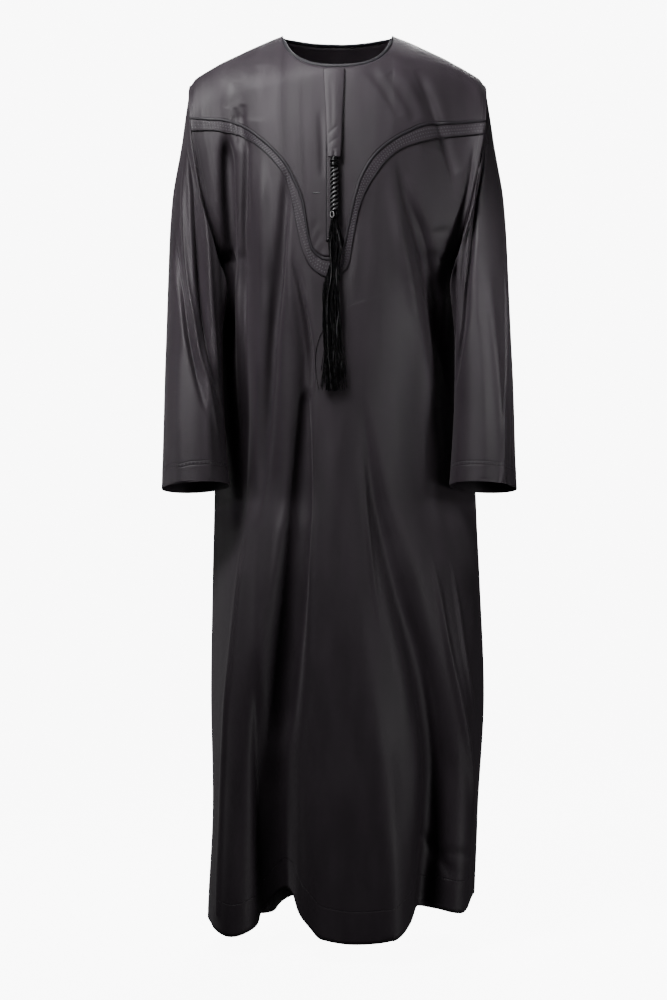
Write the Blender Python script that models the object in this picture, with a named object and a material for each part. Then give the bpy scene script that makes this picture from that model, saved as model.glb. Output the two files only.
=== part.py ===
"""A black floor-length thobe, worn and hollow, with a bib yoke, a neck tassel and long open sleeves.

Metres, +Z up. The garment's front faces -Y and +X is the viewer's right. The origin is the middle of
the neck opening, level with the high points of the shoulder seams. The whole cloth is worked out
first as one skin of points. Each sewn piece then takes its own faces of that skin and gets a wall.
"""
import math
from collections import namedtuple

import bpy
import bmesh
from mathutils import Vector

# Cloth and seams
WALL = 0.0015
SEAM_GAP = 0.0003
HALF_GAP = SEAM_GAP / 2
TRIM_WALL = 0.0010
BINDING_WIDTH = 0.006
BINDING_WALL = 0.0026

# Shoulders, neck and armholes
NECK_HALF_WIDTH = 0.089
FRONT_NECK_DROP = 0.069
BACK_NECK_DROP = 0.010
NECK_ROUND = 0.105
SHOULDER_ROUND = 0.060
NECK_POWER = 0.85
SHOULDER_POWER = 0.50
SHOULDER_HALF_WIDTH = 0.236
SHOULDER_Z = -0.080
UNDERARM_Z = -0.360
ARMHOLE_FRONT = 0.066
ARMHOLE_BACK = 0.072
BACK_CORNER = 0.52
ROUND_FROM, ROUND_TO = 0.060, 0.230
BODY_ROUNDNESS = 2.3
NECK_ROUNDNESS = 2.5
FOLD_SIDE_FADE = 6.0
ARMHOLE_FADE = 4.0
FOLD_SIDEWAYS = 0.4
SLEEVE_RADIUS = 0.065

# Rows of points down each panel, and columns across it
YOKE_ROWS = 6
BAND_ROWS = 2
CHEST_ROWS = 5
SKIRT_ROWS = 18
BACK_TOP_ROWS = 10
SLEEVE_ROWS = 13
CHEST_CENTRE_DROP = 0.090
FRONT_NECK_COLUMNS = 22
BACK_NECK_COLUMNS = 12
SIDE_COLUMNS = 10
YOKE_LEVEL, BAND_LEVEL, HEM_LEVEL = -0.22, -0.25, -1.40

# The body at each height: side is the depth of its side edge, corner how boxy the front's corners are
Section = namedtuple("Section", "z half_width centre side front back corner")
BODY_SECTIONS = [
    Section(0.040, 0.236, 0.000, 0.000, -0.066, 0.068, 0.85),
    Section(-0.080, 0.236, 0.000, 0.000, -0.100, 0.092, 0.85),
    Section(-0.135, 0.234, 0.000, 0.000, -0.109, 0.108, 0.85),
    Section(-0.200, 0.224, 0.000, 0.000, -0.118, 0.120, 0.82),
    Section(-0.280, 0.207, 0.000, 0.000, -0.126, 0.124, 0.76),
    Section(-0.360, 0.189, 0.000, 0.000, -0.130, 0.122, 0.66),
    Section(-0.400, 0.1815, 0.000, 0.010, -0.131, 0.118, 0.62),
    Section(-0.440, 0.1895, 0.000, 0.028, -0.131, 0.115, 0.63),
    Section(-0.480, 0.1930, 0.000, 0.038, -0.131, 0.113, 0.66),
    Section(-0.580, 0.1945, 0.002, 0.043, -0.131, 0.113, 0.86),
    Section(-0.680, 0.206, 0.009, 0.050, -0.132, 0.119, 1.20),
    Section(-0.735, 0.2125, 0.0125, 0.052, -0.134, 0.124, 1.30),
    Section(-0.790, 0.2135, 0.0130, 0.040, -0.136, 0.128, 0.90),
    Section(-0.870, 0.2150, 0.0140, 0.018, -0.139, 0.132, 0.62),
    Section(-1.050, 0.2184, 0.0160, 0.000, -0.144, 0.136, 0.50),
    Section(-1.250, 0.2120, 0.012, 0.000, -0.150, 0.141, 0.50),
    Section(-1.430, 0.2130, 0.005, 0.000, -0.156, 0.148, 0.50),
]

# The shoulder seam, from the neck out to the sleeve
ShoulderPoint = namedtuple("ShoulderPoint", "x z")
SHOULDER_LINE = [
    ShoulderPoint(0.000, 0.020),
    ShoulderPoint(0.060, 0.012),
    ShoulderPoint(0.089, 0.000),
    ShoulderPoint(0.134, -0.019),
    ShoulderPoint(0.174, -0.038),
    ShoulderPoint(0.208, -0.057),
    ShoulderPoint(0.226, -0.069),
    ShoulderPoint(0.236, -0.080),
]

# The bib's seam across the front, and the lower edge of the stitched band that follows it
YokePoint = namedtuple("YokePoint", "x z")
YOKE_SEAM = [
    YokePoint(-0.2360, -0.139),
    YokePoint(-0.1741, -0.144),
    YokePoint(-0.1420, -0.156),
    YokePoint(-0.1169, -0.177),
    YokePoint(-0.0935, -0.202),
    YokePoint(-0.0766, -0.225),
    YokePoint(-0.0642, -0.250),
    YokePoint(-0.0565, -0.275),
    YokePoint(-0.0535, -0.309),
    YokePoint(-0.0495, -0.344),
    YokePoint(-0.0395, -0.360),
    YokePoint(-0.0210, -0.369),
    YokePoint(-0.0041, -0.368),
    YokePoint(0.0090, -0.358),
    YokePoint(0.0130, -0.340),
    YokePoint(0.0185, -0.312),
    YokePoint(0.0237, -0.287),
    YokePoint(0.0314, -0.255),
    YokePoint(0.0422, -0.228),
    YokePoint(0.0576, -0.204),
    YokePoint(0.0776, -0.185),
    YokePoint(0.1010, -0.169),
    YokePoint(0.1339, -0.153),
    YokePoint(0.1707, -0.149),
    YokePoint(0.2360, -0.143),
]
BAND_EDGE = [
    YokePoint(-0.2360, -0.164),
    YokePoint(-0.1866, -0.162),
    YokePoint(-0.1513, -0.170),
    YokePoint(-0.1263, -0.184),
    YokePoint(-0.0997, -0.212),
    YokePoint(-0.0827, -0.240),
    YokePoint(-0.0735, -0.276),
    YokePoint(-0.0678, -0.326),
    YokePoint(-0.0640, -0.350),
    YokePoint(-0.0565, -0.373),
    YokePoint(-0.0411, -0.390),
    YokePoint(-0.0210, -0.399),
    YokePoint(-0.0041, -0.398),
    YokePoint(0.0160, -0.388),
    YokePoint(0.0229, -0.368),
    YokePoint(0.0280, -0.325),
    YokePoint(0.0375, -0.282),
    YokePoint(0.0468, -0.260),
    YokePoint(0.0576, -0.240),
    YokePoint(0.0746, -0.215),
    YokePoint(0.0946, -0.197),
    YokePoint(0.1261, -0.184),
    YokePoint(0.1600, -0.174),
    YokePoint(0.2360, -0.167),
]

# Heights of the hem across the front, and across the back
HemPoint = namedtuple("HemPoint", "x z")
FRONT_HEM = [
    HemPoint(-0.206, -1.406),
    HemPoint(-0.165, -1.420),
    HemPoint(-0.133, -1.404),
    HemPoint(-0.104, -1.354),
    HemPoint(-0.084, -1.354),
    HemPoint(-0.063, -1.378),
    HemPoint(-0.045, -1.395),
    HemPoint(-0.025, -1.413),
    HemPoint(0.022, -1.420),
    HemPoint(0.077, -1.414),
    HemPoint(0.110, -1.393),
    HemPoint(0.134, -1.375),
    HemPoint(0.163, -1.379),
    HemPoint(0.190, -1.386),
    HemPoint(0.215, -1.366),
]
BACK_HEM = [
    HemPoint(-0.206, -1.406),
    HemPoint(-0.140, -1.416),
    HemPoint(-0.060, -1.398),
    HemPoint(0.030, -1.412),
    HemPoint(0.110, -1.396),
    HemPoint(0.165, -1.392),
    HemPoint(0.215, -1.366),
]

# Folds of the body. Each runs down through its stations; height is out of the cloth, or into it if negative
Station = namedtuple("Station", "x z width height")
FRONT_FOLDS = {
    "left armhole trough": [
        Station(-0.176, -0.150, 0.008, 0.000),
        Station(-0.172, -0.220, 0.010, -0.020),
        Station(-0.168, -0.320, 0.011, -0.022),
        Station(-0.160, -0.430, 0.010, 0.000),
    ],
    "left chest trough": [
        Station(-0.150, -0.190, 0.010, 0.000),
        Station(-0.142, -0.330, 0.011, -0.007),
        Station(-0.142, -0.520, 0.012, -0.009),
        Station(-0.150, -0.760, 0.014, 0.000),
    ],
    "second chest trough": [
        Station(-0.083, -0.260, 0.010, 0.000),
        Station(-0.098, -0.430, 0.011, -0.008),
        Station(-0.104, -0.600, 0.013, -0.007),
        Station(-0.112, -0.800, 0.016, 0.000),
    ],
    "left skirt recess": [
        Station(-0.062, -0.410, 0.010, 0.000),
        Station(-0.050, -0.530, 0.011, -0.009),
        Station(-0.058, -0.680, 0.013, -0.018),
        Station(-0.073, -0.840, 0.017, -0.026),
        Station(-0.085, -1.000, 0.024, -0.040),
        Station(-0.100, -1.200, 0.032, -0.070),
        Station(-0.105, -1.430, 0.035, -0.098),
    ],
    "left skirt ridge": [
        Station(-0.155, -0.820, 0.020, 0.000),
        Station(-0.172, -1.050, 0.022, 0.008),
        Station(-0.182, -1.430, 0.026, 0.016),
    ],
    "centre skirt ridge": [
        Station(0.030, -0.800, 0.040, 0.000),
        Station(0.055, -1.050, 0.045, 0.008),
        Station(0.078, -1.430, 0.040, 0.016),
    ],
    "right chest trough": [
        Station(0.092, -0.210, 0.009, 0.000),
        Station(0.122, -0.320, 0.011, -0.010),
        Station(0.150, -0.420, 0.012, -0.018),
        Station(0.166, -0.560, 0.013, -0.010),
        Station(0.168, -0.700, 0.014, 0.000),
    ],
    "shoulder crease": [
        Station(0.122, -0.078, 0.008, 0.000),
        Station(0.140, -0.125, 0.009, -0.006),
        Station(0.170, -0.190, 0.010, -0.006),
        Station(0.186, -0.260, 0.010, 0.000),
    ],
    "right skirt recess": [
        Station(0.036, -0.600, 0.012, 0.000),
        Station(0.056, -0.730, 0.016, -0.009),
        Station(0.098, -0.890, 0.024, -0.016),
        Station(0.140, -1.040, 0.024, -0.028),
        Station(0.158, -1.180, 0.024, -0.042),
        Station(0.146, -1.430, 0.026, -0.066),
    ],
    "right skirt ridge": [
        Station(0.172, -0.850, 0.014, 0.000),
        Station(0.192, -1.020, 0.015, 0.008),
        Station(0.200, -1.200, 0.018, 0.010),
        Station(0.194, -1.430, 0.020, 0.014),
    ],
}
BACK_FOLDS = {
    "left blade trough": [
        Station(-0.150, -0.170, 0.012, 0.000),
        Station(-0.140, -0.420, 0.014, -0.010),
        Station(-0.125, -0.700, 0.018, 0.000),
    ],
    "right blade trough": [
        Station(0.158, -0.180, 0.012, 0.000),
        Station(0.138, -0.400, 0.014, -0.009),
        Station(0.112, -0.640, 0.018, 0.000),
    ],
    "left back recess": [
        Station(-0.096, -0.560, 0.016, 0.000),
        Station(-0.116, -0.850, 0.022, -0.015),
        Station(-0.128, -1.430, 0.034, -0.050),
    ],
    "middle back recess": [
        Station(-0.030, -0.420, 0.016, 0.000),
        Station(-0.026, -0.800, 0.024, -0.014),
        Station(-0.018, -1.430, 0.036, -0.046),
    ],
    "right back recess": [
        Station(0.066, -0.600, 0.018, 0.000),
        Station(0.094, -0.900, 0.024, -0.014),
        Station(0.108, -1.430, 0.036, -0.048),
    ],
    "right edge ridge": [
        Station(0.170, -0.850, 0.018, 0.000),
        Station(0.180, -1.430, 0.022, 0.012),
    ],
}

# Sleeves: the outer and inner line, the front and back depth, and how far the front leans towards
# the body, at shares of the sleeve's length
SleeveSection = namedtuple("SleeveSection", "along outer_x outer_z inner_x inner_z front back skew")
SLEEVE_SECTIONS = [
    SleeveSection(0.00, 0.236, -0.080, 0.189, -0.360, -0.066, 0.072, 0.000),
    SleeveSection(0.12, 0.2480, -0.160, 0.1940, -0.400, -0.071, 0.071, 0.011),
    SleeveSection(0.25, 0.2590, -0.250, 0.1905, -0.436, -0.078, 0.068, 0.028),
    SleeveSection(0.45, 0.2690, -0.390, 0.1885, -0.505, -0.086, 0.060, 0.022),
    SleeveSection(0.70, 0.2765, -0.550, 0.1830, -0.603, -0.100, 0.048, 0.013),
    SleeveSection(1.00, 0.2810, -0.724, 0.1735, -0.720, -0.114, 0.034, 0.008),
]
CUFF_TILT = 0.009
RING_FADE = 0.25
SLEEVE_LEAN = {"left": -0.003, "right": 0.003}

# Sleeve folds: the angle is 0 on the outer side, 90 in front, 180 on the inner side
SleeveStation = namedtuple("SleeveStation", "along angle width height")
SLEEVE_FOLDS = {
    "left": {
        "underarm ridge": [
            SleeveStation(0.04, 108, 0.012, 0.000),
            SleeveStation(0.18, 134, 0.013, 0.012),
            SleeveStation(0.42, 144, 0.014, 0.000),
        ],
        "front ridge": [
            SleeveStation(0.10, 60, 0.012, 0.000),
            SleeveStation(0.30, 82, 0.012, 0.007),
            SleeveStation(0.50, 112, 0.012, 0.008),
            SleeveStation(0.68, 132, 0.012, 0.000),
        ],
        "front trough": [
            SleeveStation(0.24, 60, 0.010, 0.000),
            SleeveStation(0.40, 72, 0.010, -0.007),
            SleeveStation(0.55, 92, 0.010, -0.006),
            SleeveStation(0.72, 110, 0.012, 0.000),
        ],
        "back trough": [
            SleeveStation(0.15, 270, 0.014, 0.000),
            SleeveStation(0.45, 255, 0.014, -0.008),
            SleeveStation(0.90, 268, 0.014, 0.000),
        ],
    },
    "right": {
        "underarm ridge": [
            SleeveStation(0.04, 108, 0.012, 0.000),
            SleeveStation(0.18, 130, 0.013, 0.012),
            SleeveStation(0.42, 140, 0.014, 0.000),
        ],
        "front trough": [
            SleeveStation(0.14, 66, 0.010, 0.000),
            SleeveStation(0.24, 88, 0.010, -0.008),
            SleeveStation(0.34, 108, 0.010, -0.007),
            SleeveStation(0.50, 122, 0.012, 0.000),
        ],
        "pressed edge": [
            SleeveStation(0.35, 52, 0.010, 0.000),
            SleeveStation(0.60, 52, 0.010, 0.005),
            SleeveStation(1.00, 50, 0.010, 0.006),
        ],
        "back trough": [
            SleeveStation(0.10, 262, 0.014, 0.000),
            SleeveStation(0.50, 276, 0.014, -0.008),
            SleeveStation(0.88, 262, 0.014, 0.000),
        ],
    },
}

# Trim down the front
PLACKET_HALF_COLUMNS = 1
TASSEL_X = -0.0055
BandSection = namedtuple("BandSection", "z half_width lift")
TASSEL_BAND = [
    BandSection(-0.0765, 0.0165, 0.0048),
    BandSection(-0.110, 0.0150, 0.0055),
    BandSection(-0.150, 0.0130, 0.0072),
    BandSection(-0.190, 0.0115, 0.0097),
    BandSection(-0.2147, 0.0100, 0.0116),
]
TASSEL_BAND_WALL = 0.0022
TASSEL_BAND_BOW = 0.0014
TASSEL_BAND_COLUMNS, TASSEL_BAND_ROWS = 6, 9
TasselPoint = namedtuple("TasselPoint", "z y")
TASSEL_LINE = [
    TasselPoint(-0.2147, -0.1290),
    TasselPoint(-0.2335, -0.1312),
    TasselPoint(-0.2970, -0.1375),
    TasselPoint(-0.3090, -0.1390),
]
KNOT_RADIUS, KNOT_TOP, KNOT_FOOT = 0.0072, -0.2150, -0.2335
KNOT_ROWS = 6
KNOT_END = 0.72
CORD_RADIUS, CORD_FOOT = 0.0062, -0.2970
CORD_PLIES, CORD_TURNS, CORD_ROWS, CORD_SIDES = 3, 2.5, 26, 12
CORD_GROOVE = 0.0014
HEAD_TOP, HEAD_FOOT = CORD_FOOT - SEAM_GAP, -0.3090
HEAD_WIDTH, HEAD_DEPTH = 0.0190, 0.0110
HEAD_TAPER_WIDTH, HEAD_TAPER_DEPTH = 0.72, 0.90
STRAND_ACROSS, STRAND_DEEP = 9, 4
STRAND_INSET = 0.0004
STRAND_FOOT = -0.577
STRAND_SHORTEST = 0.90
STRAND_UNEVEN_TURN = 2.4
STRAND_SPREAD = 0.80
STRAND_THINNING = 0.35
STRAND_STEPS = 3

Colour = namedtuple("Colour", "red green blue roughness")
CLOTH = Colour(0.030, 0.028, 0.031, 0.62)
TRIM = Colour(0.018, 0.017, 0.019, 0.55)
THREAD = Colour(0.022, 0.021, 0.024, 0.48)


def clear_scene():
    for item in list(bpy.data.objects):
        bpy.data.objects.remove(item, do_unlink=True)


def smooth_value(rows, key, name, at):
    """A smooth curve through one column of a table, held level past its ends."""
    keys = [getattr(row, key) for row in rows]
    values = [getattr(row, name) for row in rows]
    if keys[0] > keys[-1]:
        keys.reverse()
        values.reverse()
    if at <= keys[0]:
        return values[0]
    if at >= keys[-1]:
        return values[-1]
    i = max(index for index, edge in enumerate(keys) if edge <= at)
    span = keys[i + 1] - keys[i]
    t = (at - keys[i]) / span

    def slope(j):
        if j == 0 or j == len(keys) - 1:
            return 0.0 if len(keys) > 2 else (values[1] - values[0]) / (keys[1] - keys[0])
        before = (values[j] - values[j - 1]) / (keys[j] - keys[j - 1])
        after = (values[j + 1] - values[j]) / (keys[j + 1] - keys[j])
        if before * after <= 0.0:
            return 0.0
        return 2.0 * before * after / (before + after)

    ease = t * t * (3 - 2 * t)
    rise = t * (1 - t) * (1 - t) * slope(i) * span
    fall = t * t * (t - 1) * slope(i + 1) * span
    return values[i] * (1 - ease) + values[i + 1] * ease + rise + fall


def shoulder_z(x):
    return smooth_value(SHOULDER_LINE, "x", "z", abs(x))


def neck_z(x, drop):
    return -drop * math.sqrt(max(1.0 - (abs(x) / NECK_HALF_WIDTH) ** NECK_ROUNDNESS, 0.0))


def top_z(x, drop):
    return neck_z(x, drop) if abs(x) < NECK_HALF_WIDTH else shoulder_z(x)


def armhole_depth(z, depth):
    """How far the armhole's edge lies in front of or behind the side, at this height."""
    if z >= SHOULDER_Z or z <= UNDERARM_Z:
        return 0.0
    share = (SHOULDER_Z - z) / (SHOULDER_Z - UNDERARM_Z)
    return depth * math.sin(math.acos(1.0 - 2.0 * share))


def fold_height(folds, x, z):
    total = 0.0
    for stations in folds.values():
        if not stations[-1].z <= z <= stations[0].z:
            continue
        middle = smooth_value(stations, "z", "x", z)
        width = smooth_value(stations, "z", "width", z)
        height = smooth_value(stations, "z", "height", z)
        total += height * math.exp(-((x - middle) / width) ** 2)
    return total


def body_point(across, z, front):
    """A point of the body's cloth. across runs from -1 at the viewer's left edge to 1."""
    row = {name: smooth_value(BODY_SECTIONS, "z", name, z) for name in Section._fields[1:]}
    depth = row["front"] if front else row["back"]
    corner = row["corner"] if front else BACK_CORNER
    edge = row["side"]
    armhole = armhole_depth(z, -ARMHOLE_FRONT if front else ARMHOLE_BACK)
    x = row["centre"] + row["half_width"] * across
    outward = min(max((abs(x) - ROUND_FROM) / (ROUND_TO - ROUND_FROM), 0.0), 1.0)
    rounding = NECK_ROUND + (SHOULDER_ROUND - NECK_ROUND) * outward
    power = NECK_POWER + (SHOULDER_POWER - NECK_POWER) * outward
    drop = min(max((shoulder_z(x) - z) / rounding, 0.0), 1.0)
    swell = max(1.0 - abs(across) ** BODY_ROUNDNESS, 0.0) ** corner
    swell *= math.sin(math.pi / 2 * drop) ** power
    y = edge + (depth - edge) * swell
    y += armhole * (1.0 - swell) * abs(across) ** ARMHOLE_FADE
    height = fold_height(FRONT_FOLDS if front else BACK_FOLDS, x, z)
    height *= min((1.0 - across * across) * FOLD_SIDE_FADE, 1.0)
    out = math.asin(across)
    facing = -1.0 if front else 1.0
    x += FOLD_SIDEWAYS * height * math.sin(out)
    return Vector((x, y + facing * height * math.cos(out), z))


def between(top, foot, rows):
    return [top + (foot - top) * row / rows for row in range(1, rows + 1)]


def column_places(neck_columns):
    """Places across a panel, from -1 to 1, with one column on each high point of the neck."""
    corner = math.asin(NECK_HALF_WIDTH / SHOULDER_HALF_WIDTH)
    half = neck_columns // 2
    middle = [corner * math.sin(math.pi / 2 * i / half) for i in range(-half, half + 1)]
    step = (math.pi / 2 - corner) / SIDE_COLUMNS
    side = [corner + step * i for i in range(1, SIDE_COLUMNS)]
    angles = [-angle for angle in reversed(side)] + middle + side
    return [-1.0] + [math.sin(angle) for angle in angles] + [1.0]


def column_x(across, z):
    half_width = smooth_value(BODY_SECTIONS, "z", "half_width", z)
    return smooth_value(BODY_SECTIONS, "z", "centre", z) + half_width * across


def chest_z(across):
    return UNDERARM_Z - CHEST_CENTRE_DROP * (1.0 - across * across)


def front_heights(across):
    """The heights of one column's points, from its top edge to the hem."""
    top = top_z(SHOULDER_HALF_WIDTH * across, FRONT_NECK_DROP)
    seam = smooth_value(YOKE_SEAM, "x", "z", column_x(across, YOKE_LEVEL))
    band = smooth_value(BAND_EDGE, "x", "z", column_x(across, BAND_LEVEL))
    chest = chest_z(across)
    hem = smooth_value(FRONT_HEM, "x", "z", column_x(across, HEM_LEVEL))
    heights = [top] + between(top, seam, YOKE_ROWS)
    heights += between(seam, band, BAND_ROWS)
    heights += between(band, chest, CHEST_ROWS)
    return heights + between(chest, hem, SKIRT_ROWS)


def back_heights(across):
    top = top_z(SHOULDER_HALF_WIDTH * across, BACK_NECK_DROP)
    hem = smooth_value(BACK_HEM, "x", "z", column_x(across, HEM_LEVEL))
    heights = [top] + between(top, UNDERARM_Z, BACK_TOP_ROWS)
    return heights + between(UNDERARM_Z, hem, SKIRT_ROWS)


def body_grid(columns, heights, front):
    return [[body_point(across, z, front) for z in heights(across)] for across in columns]


def sleeve_ring(side, angle, along):
    """A point on the sleeve's plain tube, at this share of its length."""
    row = {name: smooth_value(SLEEVE_SECTIONS, "along", name, along)
           for name in SleeveSection._fields[1:]}
    turn = math.radians(angle)
    swing = math.cos(turn)
    lean = SLEEVE_LEAN[side] * along
    x = (row["outer_x"] + row["inner_x"]) / 2 + lean + (row["outer_x"] - row["inner_x"]) / 2 * swing
    z = (row["outer_z"] + row["inner_z"]) / 2 + (row["outer_z"] - row["inner_z"]) / 2 * swing
    x -= row["skew"] * math.sin(turn)
    middle = (row["front"] + row["back"]) / 2
    y = middle - (row["back"] - row["front"]) / 2 * math.sin(turn)
    z += CUFF_TILT * along * math.sin(turn)
    facing = -1.0 if side == "left" else 1.0
    return Vector((facing * x, y, z))


def sleeve_fold(side, angle, along):
    total = 0.0
    for stations in SLEEVE_FOLDS[side].values():
        if not stations[0].along <= along <= stations[-1].along:
            continue
        middle = smooth_value(stations, "along", "angle", along)
        width = smooth_value(stations, "along", "width", along)
        height = smooth_value(stations, "along", "height", along)
        apart = math.radians((angle - middle + 180.0) % 360.0 - 180.0) * SLEEVE_RADIUS
        total += height * math.exp(-(apart / width) ** 2)
    return total


def share_of_length(points):
    lengths = [0.0]
    for before, after in zip(points, points[1:]):
        lengths.append(lengths[-1] + (after - before).length)
    return [length / lengths[-1] for length in lengths]


def sleeve_grid(side, front_edge, back_edge):
    """Columns round the sleeve that start on the armhole's own points. Both edges run downwards."""
    ring = front_edge + back_edge[-2:0:-1]
    angles = [180.0 * share for share in share_of_length(front_edge)]
    angles += [360.0 - 180.0 * share for share in share_of_length(back_edge)][-2:0:-1]
    columns = []
    for start, angle in zip(ring, angles):
        offset = start - sleeve_ring(side, angle, 0.0)
        column = [start]
        for row in range(1, SLEEVE_ROWS + 1):
            along = row / SLEEVE_ROWS
            fade = max(1.0 - along / RING_FADE, 0.0) ** 2
            point = sleeve_ring(side, angle, along) + offset * fade
            middle = (sleeve_ring(side, 0.0, along) + sleeve_ring(side, 180.0, along)) / 2
            middle.y = (sleeve_ring(side, 90.0, along).y + sleeve_ring(side, 270.0, along).y) / 2
            out = point - middle
            out.z = 0.0
            column.append(point + out.normalized() * sleeve_fold(side, angle, along))
        columns.append(column)
    return columns


class Skin:
    """All the cloth as one surface, with each face labelled with the piece it belongs to."""

    def __init__(self):
        self.points = []
        self.places = {}
        self.faces = []
        self.labels = []

    def corner(self, point):
        place = tuple(round(value * 1e6) for value in point)
        if place not in self.places:
            self.places[place] = len(self.points)
            self.points.append(point.copy())
        return self.places[place]

    def add_grid(self, columns, label, flip, closed=False):
        numbers = [[self.corner(point) for point in column] for column in columns]
        if closed:
            numbers.append(numbers[0])
        for i in range(len(numbers) - 1):
            for j in range(len(numbers[0]) - 1):
                a, b = numbers[i][j], numbers[i][j + 1]
                c, d = numbers[i + 1][j + 1], numbers[i + 1][j]
                name = label(j) if callable(label) else label
                for face in ((a, b, c), (a, c, d)):
                    if len(set(face)) == 3:
                        self.faces.append(face[::-1] if flip else face)
                        self.labels.append(name)
        return numbers

    def normals(self):
        """The cloth's direction at each point: its faces' normals, weighed by their angle there."""
        totals = [Vector((0, 0, 0)) for _ in self.points]
        for face in self.faces:
            for i in range(3):
                here, after, before = (self.points[face[(i + k) % 3]] for k in range(3))
                one, two = after - here, before - here
                totals[face[i]] += one.cross(two).normalized() * one.angle(two)
        return [total.normalized() for total in totals]


def edges_of(faces):
    """The edges on the rim of a set of faces, each with the direction its face gives it."""
    seen = {}
    for face in faces:
        for i in range(3):
            edge = (face[i], face[(i + 1) % 3])
            seen[edge] = face
    return {edge: face for edge, face in seen.items() if (edge[1], edge[0]) not in seen}


def inward_moves(points, normals, faces):
    """For each point on a rim, the step into the piece, square to the rim and to the cloth's normal.

    Both pieces at a seam share its points and normals, so their steps are opposite and the gap is even.
    """
    moves = {}
    for (start, end), face in edges_of(faces).items():
        pa, pb, pc = (points[corner] for corner in face)
        edge = points[end] - points[start]
        inward = (pb - pa).cross(pc - pa).cross(edge)
        for corner in (start, end):
            step = normals[corner].cross(edge).normalized()
            moves.setdefault(corner, []).append(step if step.dot(inward) > 0 else -step)
    steps = {}
    for corner, directions in moves.items():
        total = sum(directions, Vector((0, 0, 0))).normalized()
        steps[corner] = total / max(total.dot(directions[0]), 0.5)
    return steps


def pulled_in(points, normals, faces, distance):
    """The points with each rim moved into its own piece."""
    result = {corner: points[corner].copy() for face in faces for corner in face}
    for corner, step in inward_moves(points, normals, faces).items():
        result[corner] += step * distance
    return result


def wall_object(name, outer, faces, inner, colour):
    """A closed wall between two sheets of points that share the same faces."""
    corners = sorted({corner for face in faces for corner in face})
    place = {corner: i for i, corner in enumerate(corners)}
    count = len(corners)
    verts = [outer[corner] for corner in corners] + [inner[corner] for corner in corners]
    solid = [tuple(place[corner] for corner in face) for face in faces]
    solid += [tuple(place[corner] + count for corner in face[::-1]) for face in faces]
    for start, end in edges_of(faces):
        a, b = place[start], place[end]
        # Both pieces at a seam split their end walls along the same diagonal
        if start < end:
            solid += [(b, a, b + count), (a, a + count, b + count)]
        else:
            solid += [(b, a, a + count), (b, a + count, b + count)]
    return mesh_object(name, verts, solid, colour)


def mesh_object(name, verts, faces, colour):
    mesh = bpy.data.meshes.new(name)
    mesh.from_pydata([tuple(vert) for vert in verts], [], faces)
    mesh.validate()
    for polygon in mesh.polygons:
        polygon.use_smooth = True
    item = bpy.data.objects.new(name, mesh)
    bpy.context.collection.objects.link(item)
    item.data.materials.append(finish(name, colour))
    return item


def finish(name, colour):
    material = bpy.data.materials.new(name + "_finish")
    material.use_nodes = True
    shader = material.node_tree.nodes["Principled BSDF"]
    shader.inputs["Base Color"].default_value = (colour.red, colour.green, colour.blue, 1.0)
    shader.inputs["Roughness"].default_value = colour.roughness
    shader.inputs["Metallic"].default_value = 0.0
    return material


def cloth_piece(skin, normals, name):
    faces = [face for face, label in zip(skin.faces, skin.labels) if label == name]
    outer = pulled_in(skin.points, normals, faces, HALF_GAP)
    inner = {corner: point - normals[corner] * WALL for corner, point in outer.items()}
    return wall_object(name, outer, faces, inner, CLOTH)


def strip_on(skin, normals, name, numbers, wall):
    """A thin strip that lies on a panel, made from a block of the panel's own points."""
    faces = []
    for left, right in zip(numbers, numbers[1:]):
        for j in range(len(left) - 1):
            a, b, c, d = left[j], left[j + 1], right[j + 1], right[j]
            faces += [(a, b, c), (a, c, d)]
    base = pulled_in(skin.points, normals, faces, HALF_GAP)
    inner = {corner: point + normals[corner] * SEAM_GAP for corner, point in base.items()}
    outer = {corner: point + normals[corner] * (SEAM_GAP + wall) for corner, point in base.items()}
    return wall_object(name, outer, faces, inner, TRIM)


def neck_binding(skin, normals, rims):
    """A folded strip round the neck that carries on from the panels' own edge."""
    count = len(rims)
    verts = []
    steps = inward_moves(skin.points, normals, skin.faces)
    for corner in rims:
        point = skin.points[corner]
        normal = normals[corner]
        onward = -steps[corner]
        near = point + onward * SEAM_GAP
        far = point + onward * BINDING_WIDTH
        over = normal * (BINDING_WALL - WALL) / 2
        under = normal * (BINDING_WALL + WALL) / 2
        verts += [near + over, far + over, far - under, near - under]
    faces = []
    for i in range(count):
        for k in range(4):
            a, b = 4 * i + k, 4 * i + (k + 1) % 4
            c, d = 4 * ((i + 1) % count) + (k + 1) % 4, 4 * ((i + 1) % count) + k
            # The side next to the panels is split along the same diagonal as their end walls
            if k == 3 and rims[i] < rims[(i + 1) % count]:
                faces += [(a, d, b), (b, d, c)]
            else:
                faces += [(a, d, c), (a, c, b)]
    return mesh_object("neck_binding", verts, faces, TRIM)


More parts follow.
